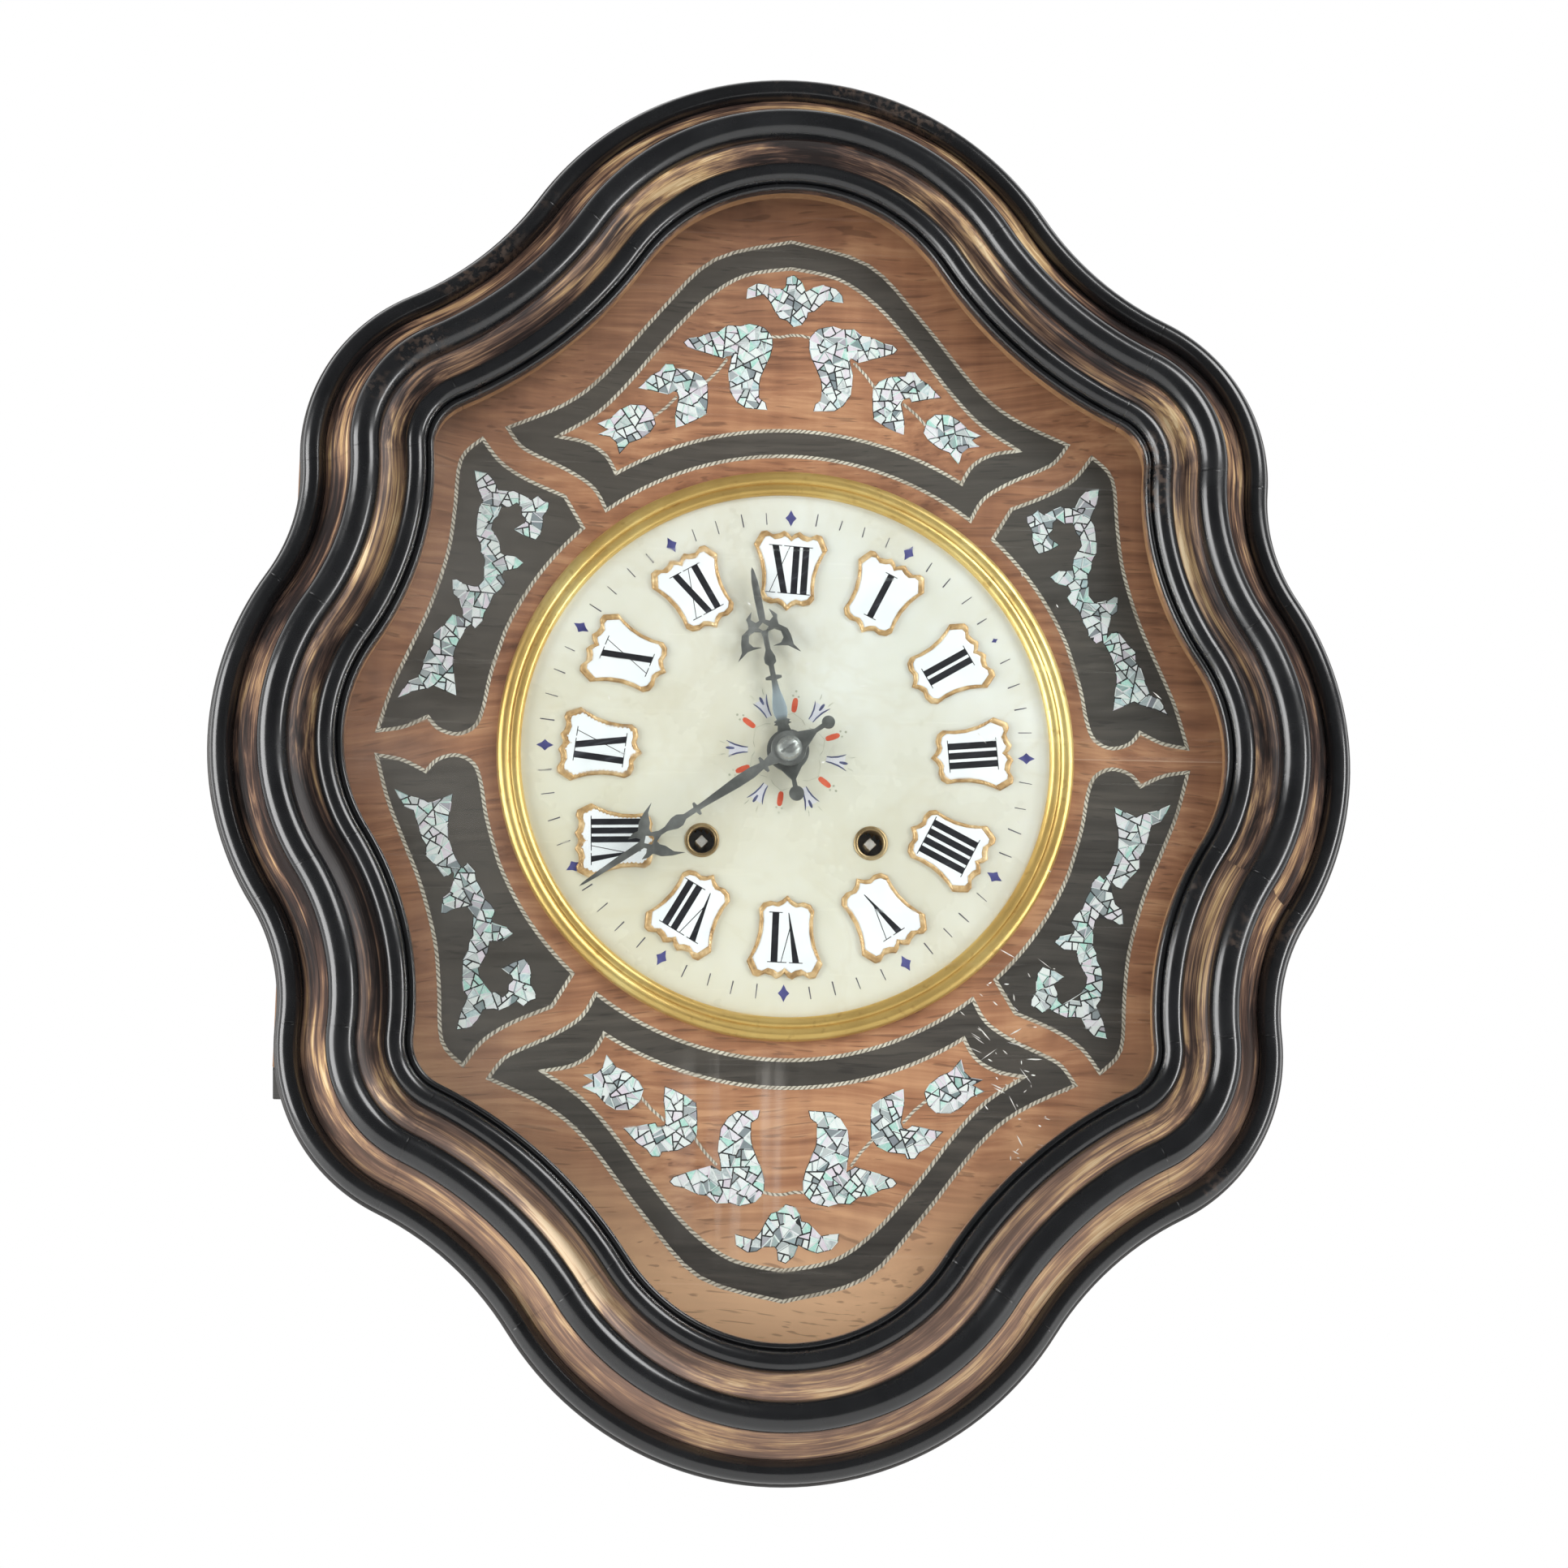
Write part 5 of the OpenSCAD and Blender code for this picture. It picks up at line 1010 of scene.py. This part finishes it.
print("stage: plaques and numerals")
plaqueHalf = [(0, -17.8), (2.2, -15.6), (4.6, -14.4), (7.5, -15), (10.6, -14), (12.4, -11.4), (11.9, -7), (12.2, -1),
              (13.6, 5), (15.4, 9.4), (17, 12.4), (15.6, 15.4), (14, 18.6), (11.6, 19.2), (8.6, 17.6), (5.6, 18.4),
              (3.6, 19.8), (1.6, 18.8), (0, 17.2)]
plaqueValues = {"enamelShare": 0.868, "stroke": 3.05, "thin": 0.36, "between": 1.35, "foot": -9.8, "head": 12.4,
                "wide": 8.4, "numeralWidth": 19.5, "serif": 1.5, "tip": 0.66, "fork": 0.3, "inkRise": 1.385,
                "turns": [3.5, -3.2, -0.5, -5, -2.5, -3.7, 1.9, 0.5, 28.5, 7, -9, 0],
                "slips": {2: (1.3, -0.7), 8: (1.1, 2.9)}}
plaqueLine = [Vector(p) for p in plaqueHalf] + [Vector((-p[0], p[1])) for p in reversed(plaqueHalf[1:-1])]


def onDial(hour, x, z, out):
    # a place on the plaque of that hour, out is above the dial's face
    own = radians(plaqueValues["turns"][hour % 12])
    slipX, slipZ = plaqueValues["slips"].get(hour % 12, (0, 0))
    x, z = x * cos(own) + z * sin(own) + slipX, z * cos(own) - x * sin(own) + slipZ
    swing = -radians(30 * hour)
    z += dialValues["plaqueRing"]
    turnedX, turnedZ = x * cos(swing) - z * sin(swing), x * sin(swing) + z * cos(swing)
    return at(turnedX, turnedZ, dialValues["face"] + out)


startPiece("plaqueRims")
rimRings = [(1.0, 0.0), (0.996, 0.6), (0.98, 1.3), (0.955, 1.7), (0.932, 1.35), (0.92, 1.2), (0.905, 1.35),
            (0.885, 1.75), (0.868, 1.55), (0.858, 1.15), (0.858, 0.9)]
rimLine = dense(plaqueLine, 1.05)
for hour in range(12):
    for share, rise in rimRings:
        # the pressed leaves: every other point of the raised rings lies lower
        ring = [(p.x * share, p.y * share, rise * (0.8 if i % 2 and 1.2 < rise else 1)) for i, p in enumerate(rimLine)]
        layShape([onDial(hour, x, z, out) for x, z, out in ring], filled=False)
    bridgeLast(len(rimLine) * len(rimRings), "CLOSED")
plaqueRims = closePiece(50, 0.002)

startPiece("plaqueEnamels")
for hour in range(12):
    share = plaqueValues["enamelShare"]
    layShape([onDial(hour, p.x * share, p.y * share, 0.02) for p in plaqueLine])
    bpy.ops.mesh.extrude_region_move(TRANSFORM_OT_translate={"value": (0, -1.0 * mm, 0)})
    bpy.ops.mesh.inset(thickness=0.35 * mm, depth=0.26 * mm)
    bpy.ops.mesh.inset(thickness=0.6 * mm, depth=0.1 * mm)
plaqueEnamels = closePiece(40, 0.002)

giltPressing = metalFinish("giltPressing", (142, 106, 66), (206, 168, 116), (248, 222, 176), 0.4, 0.2, 160.0, 300.0,
                           0.9, 0.3)
dress(plaqueRims, giltPressing, "case", "gilt_metal", "plaque_frames")
enamelWhite = newFinish("whiteEnamel", Coat_Weight=0.5, Coat_Roughness=0.05, Roughness=0.2)
spot = placed()
shade = toned(noise(spot, 40.0, 4.0), [(0.3, (238, 243, 245)), (0.65, (250, 252, 253))])
specks = useEffect(chips, Vector=spot, Scale=420.0, Amount=0.03)["Mask"]
shade = mixed(times(specks, 0.35), shade, (120, 118, 112))
feed(shade, "Base Color")
bumped(noise(spot, 90.0, 2.0), 0.06, 0.0004)
dress(plaqueEnamels, enamelWhite, "case", "enamel", "plaque_enamels")

hourWords = ["XII", "I", "II", "III", "IIII", "V", "VI", "VII", "VIII", "IX", "X", "XI"]


def numeralStrokes(word, v):
    # thick strokes, hair strokes and the hair serifs of one numeral, as four-cornered shapes
    widths = {"I": v["stroke"], "V": v["wide"], "X": v["wide"]}
    total = sum(widths[c] for c in word) + v["between"] * (len(word) - 1)
    shrink = min(1.0, v["numeralWidth"] / total)
    x = -total / 2
    low, high, thin = v["foot"], v["head"], v["thin"]
    shapes = []
    for letter in word:
        wide = widths[letter]
        end = x + wide
        thick = v["stroke"]
        if letter == "I":
            shapes.append([(x, low), (end, low), (end, high), (x, high)])
            serifs = [(x, end, low), (x, end, high)]
        elif letter == "V":
            # the thick stroke runs to a point and the hair stroke leaves it part of the way up
            tip = x + wide * v["tip"]
            shapes.append([(tip - 0.2, low), (tip + 0.2, low), (x + thick, high), (x, high)])
            fork = Vector((tip, low)).lerp(Vector((x + thick, high)), v["fork"])
            shapes.append([(fork.x - thin, fork.y), (fork.x, fork.y - thin), (end, high), (end - thin, high)])
            serifs = [(x, x + thick, high), (end - 1.2, end, high)]
        else:
            shapes.append([(end - thick, low), (end, low), (x + thick, high), (x, high)])
            shapes.append([(x, low), (x + thin, low), (end, high), (end - thin, high)])
            serifs = [(x, x + thick, high), (end - thick, end, low), (end - 1.4, end, high), (x, x + 1.4, low)]
        half = thin * 0.55
        for a, b, z in serifs:
            a, b = a - v["serif"], b + v["serif"]
            shapes.append([(a, z - half), (b, z - half), (b, z + half), (a, z + half)])
        x = end + v["between"]
    return [[(px * shrink, pz) for px, pz in shape] for shape in shapes]


# each stroke lies a hair above the last
numerals = flatPiece("numerals", [[onDial(hour, px, pz, plaqueValues["inkRise"] + 0.0004 * layer) for px, pz in shape]
                                  for hour, word in enumerate(hourWords)
                                  for layer, shape in enumerate(numeralStrokes(word, plaqueValues))])
inkBlack = newFinish("numeralBlack", Roughness=0.32)
thinInk = useEffect(woodFigure, Vector=placed(turn=(0, 0.4, 0)), Scale=60.0, Waver=0.6)["Figure"]
feed(toned(thinInk, [(0.3, (14, 14, 18)), (0.62, (34, 34, 40)), (0.78, (84, 84, 92))]), "Base Color")
dress(numerals, inkBlack, "case", "enamel")


def roundDialPlace(radius, angle, sideways=0.0, rise=0.03):
    swing = radians(90 - angle)
    return at(radius * cos(swing) + sideways * sin(swing), radius * sin(swing) - sideways * cos(swing),
              dialValues["face"] + rise)


markValues = {"turn": 0.4, "inner": 106.0, "outer": 111.8, "tickWide": 0.58, "diamondAt": 109, "diamond": (3.9, 2.6)}
chance = random.Random(5)
ticks, diamonds = [], []
for minute in range(60):
    if minute % 5:
        inner, outer = markValues["inner"] + chance.uniform(-0.5, 0.5), markValues["outer"] + chance.uniform(-0.6, 0.6)
        half = markValues["tickWide"] / 2 * chance.uniform(0.75, 1.15)
        skew = chance.uniform(-0.5, 0.5)
        angle = 6 * minute + chance.uniform(-0.4, 0.4) + markValues["turn"]
        ticks.append([roundDialPlace(inner, angle, -half), roundDialPlace(inner, angle, half),
                      roundDialPlace(outer, angle, half * 0.7 + skew),
                      roundDialPlace(outer, angle, -half * 0.7 + skew)])
long, half = markValues["diamond"]
for minute in range(0, 60, 5):
    size = 0.45 if minute == 10 else 1.0  # the mark at two is nearly worn away
    star = [(long, 0), (long * 0.38, half * 0.46), (0, half), (-long * 0.38, half * 0.46), (-long, 0),
            (-long * 0.38, -half * 0.46), (0, -half), (long * 0.38, -half * 0.46)]
    diamonds.append([roundDialPlace(markValues["diamondAt"] + a * size, 6 * minute + markValues["turn"], b * size)
                     for a, b in star])

flowerValues = {"buds": [8.4, 70.6, 128.8, 188, 247.5, 306.5], "bud": (18.4, 25.1, 2.7),
                "fans": [36, 99.5, 155, 212.5, 272, 332], "fan": (17.9, 27.6), "fanHeart": (24.0, 27.9, 1.35),
                "wash": [(22.5, 1.5), (26.4, 2.9)], "washRise": 0.022, "garland": (18.0, 14.8),
                "dots": [(-3, 26, 0.55), (2.6, 25.9, 0.5), (-0.6, 28.2, 0.6)]}
budShares = [(0, 0.45), (0.12, 0.85), (0.5, 1.0), (0.86, 0.85), (1, 0.4)]
strokeShares = [(0, 0.5), (0.25, 0.85), (0.6, 1.0), (0.85, 0.8), (1, 0.3)]


def petal(angle, inner, outer, width, bow=0.0, sideways=0.0, shares=strokeShares):
    # a small brush stroke, from its foot out to its tip
    shape = [(inner + (outer - inner) * share, width / 2 * half, bow * share ** 2.2) for share, half in shares]
    back = [(r, -w, b) for r, w, b in reversed(shape)]
    return [roundDialPlace(r, angle, sideways + b + w) for r, w, b in shape + back]


def dot(angle, radius, size):
    return [roundDialPlace(radius + size * sin(a), angle, size * cos(a)) for a in [radians(60 * i) for i in range(6)]]


redStrokes, blueStrokes, greenStrokes, washes = [], [], [], []
for red in flowerValues["buds"]:
    redStrokes.append(petal(red, *flowerValues["bud"], shares=budShares))
    greenStrokes += [dot(red + aside, radius, size) for aside, radius, size in flowerValues["dots"]]
for blue in flowerValues["fans"]:
    foot, tip = flowerValues["fan"]
    for side in (-1, 1):
        blueStrokes.append(petal(blue, foot, tip - 0.5 + 0.6 * side, 0.8, 2.6 * side, 1.15 * side))
        greenStrokes.append(petal(blue + 5 * side, tip + 0.6, tip + 3.4, 0.3, 0.6 * side))
    blueStrokes.append(petal(blue + 0.8, *flowerValues["fanHeart"]))
    leaf = [(foot, 1)] + flowerValues["wash"]
    leaf += [(r, -w) for r, w in leaf[::-1]]
    washes.append([roundDialPlace(r, blue, w, flowerValues["washRise"]) for r, w in leaf])
    near = [red + 360 * turn for red in flowerValues["buds"] for turn in (-1, 0, 1)
            if abs(red + 360 * turn - blue) < 45]
    high, low = flowerValues["garland"]
    for red in near:
        bend = blue + (red - blue) * 0.42
        knots = [(high, red), (low + 1.4, bend), (low, blue + (red - blue) * 0.14)]
        for (r1, a1), (r2, a2) in zip(knots, knots[1:]):
            greenStrokes.append([roundDialPlace(r1, a1, -0.2), roundDialPlace(r1, a1, 0.2), roundDialPlace(r2, a2, 0.2),
                                 roundDialPlace(r2, a2, -0.2)])
# piece, shapes, paint, its two tones, the size of its clouds, and how far each shape lies above the last
paintValues = [("minuteMarks", ticks, "slatePaint", (66, 62, 76), (100, 96, 104), 140.0, 0),
               ("diamondMarks", diamonds, "bluePaint", (50, 50, 108), (92, 92, 148), 160.0, 0),
               ("redBuds", redStrokes, "redPaint", (206, 78, 50), (222, 106, 76), 200.0, 0.0005),
               ("fanWashes", washes, "lavenderPaint", (208, 208, 218), (222, 220, 222), 120.0, 0.0005),
               ("blueFans", blueStrokes, "darkBluePaint", (58, 60, 96), (98, 102, 138), 200.0, 0.0005),
               ("garland", greenStrokes, "greenPaint", (150, 153, 132), (192, 193, 172), 160.0, 0.0005)]
for name, shapes, paint, first, second, scale, lift in paintValues:
    piece = flatPiece(name, [[p + at(0, 0, lift * number) for p in shape] for number, shape in enumerate(shapes)])
    dress(piece, cloudedFinish(paint, 0.4, scale, 4.0, [(0.32, first), (0.68, second)]), "case", "alabaster")

print("stage: hands")


def handFinish(name, washed):
    finish = newFinish(name, Metallic=0.35)
    spot = placed()
    tone = useEffect(metalTone, Vector=spot, Scale=60.0, Lines=500.0)
    shade = toned(tone["Cloud"], [(0.28, (70, 72, 70)), (0.5, (97, 98, 96)), (0.72, (130, 131, 129))])
    if washed:  # the vase above the hub keeps a bluish bloom
        fromHub = addNode("VectorMath", {0: placed((1, 0, 1))}, operation="LENGTH").outputs[1]
        bloom = times(eased(fromHub, 0.0135, 0.017), eased(fromHub, 0.034, 0.024))
        above = calc("GREATER_THAN", axes(spot)[2], 0.0)
        shade = mixed(times(times(bloom, above), 0.75), shade, (168, 182, 190))
    feed(shade, "Base Color")
    feed(remap(tone["Cloud"], 0.3, 0.7, 0.3, 0.46), "Roughness")
    bumped(minus(tone["Rubbed"], tone["Pits"]), 0.2, 0.0001)
    return finish


softenedParts("minute_hand", handFinish("greyHandSteel", False), 0.28, 3)
softenedParts("hour_hand", handFinish("washedHandSteel", True), 0.28, 3)
nutSteel = metalFinish("nutSteel", (112, 112, 110), (170, 172, 170), (214, 216, 214), 0.26, 0.2, 70.0, metallic=0.6)
softenedParts("hand_nut", nutSteel, 0.3, 3)
softenedParts("going_arbor strike_arbor", squareSteelPaintedBright, 0.35, 2)

print("stage: case")


def boardFinish(name, stops, direction, scale, roughness=0.62, pores=0.4):
    finish = newFinish(name)
    turns = {"x": (0, 0, 0), "z": (0, pi / 2, 0)}
    spot = placed(turn=turns[direction])
    wood = useEffect(woodFigure, Vector=spot, Scale=scale, Waver=0.6)
    tone = plus(times(wood["Figure"], 0.6), times(wood["Fibre"], 0.4))
    shade = toned(tone, stops)
    shade = mixed(times(wood["Pores"], pores), shade, stops[0][1])
    grime = noise(placed(), 12.0, 5.0, 0.65)
    shade = mixed(remap(grime, 0.5, 0.75, 0, 0.35), shade, stops[0][1])
    marks = useEffect(fineScratches, Vector=placed(), Scale=120.0, Amount=0.4)["Lines"]
    shade = mixed(times(marks, 0.15), shade, stops[-1][1])
    feed(shade, "Base Color")
    feed(remap(wood["Fibre"], 0.3, 0.7, roughness - 0.08, roughness + 0.1), "Roughness")
    bumped(minus(wood["Fibre"], wood["Pores"]), 0.2, 0.0003)
    return finish


stainedStops = [(0.32, (28, 27, 25)), (0.5, (43, 41, 37)), (0.7, (64, 60, 54))]
stainedX = boardFinish("stainedBoardAcross", stainedStops, "x", 9.0)
stainedZ = boardFinish("stainedBoardUpright", stainedStops, "z", 9.0)
rawWood = boardFinish("rawPanelBack", [(0.3, (112, 80, 54)), (0.5, (146, 108, 74)), (0.7, (172, 134, 96))], "z", 8.0,
                      0.65)
pine = boardFinish("pineBoard", [(0.3, (142, 104, 66)), (0.5, (184, 146, 98)), (0.7, (206, 172, 124))], "z", 6.0, 0.62,
                   pores=0.2)
softenedParts("case_top case_bottom", stainedX, 0.5, 2)
softenedParts("case_left case_right", stainedZ, 0.5, 2)
softenedParts("case_front panel_board", rawWood, 0.5, 2)
softenedParts("hinge_stile", stainedZ, 0.5, 2)
softenedParts("back_board", pine, 0.5, 2)
softenedParts("glass_beads", rawWood, 0.3, 1)
softenedParts("hanging_plate", dullBrass, 0.3, 2)
softenedParts("case_hinge_leaves door_hinge_leaves latch_bracket latch_hook", dullBrass, 0.25, 2)
softenedParts("case_screws door_screws", screwSteel, 0.15, 1)

print("stage: movement")
softenedParts("movement_straps front_plate back_plate back_cock", platedBrass, 0.25, 2)
wheels = ("cannon_pinion hour_wheel minute_wheel going_barrel strike_barrel going_second_wheel centre_wheel "
          "third_wheel escape_wheel strike_second_wheel pin_wheel warning_wheel fly")
softenedParts(wheels, platedBrass, 0.1, 1)
softenedParts("going_click strike_click anchor hammer", greySteel, 0.15, 1)
softenedParts("gong_coil", ironGrey, 0.3, 1, smooth=60)
softenedParts("going_mainspring strike_mainspring suspension_spring", springSteel, 0.0)
softenedParts("pendulum", brass, 0.3, 2)
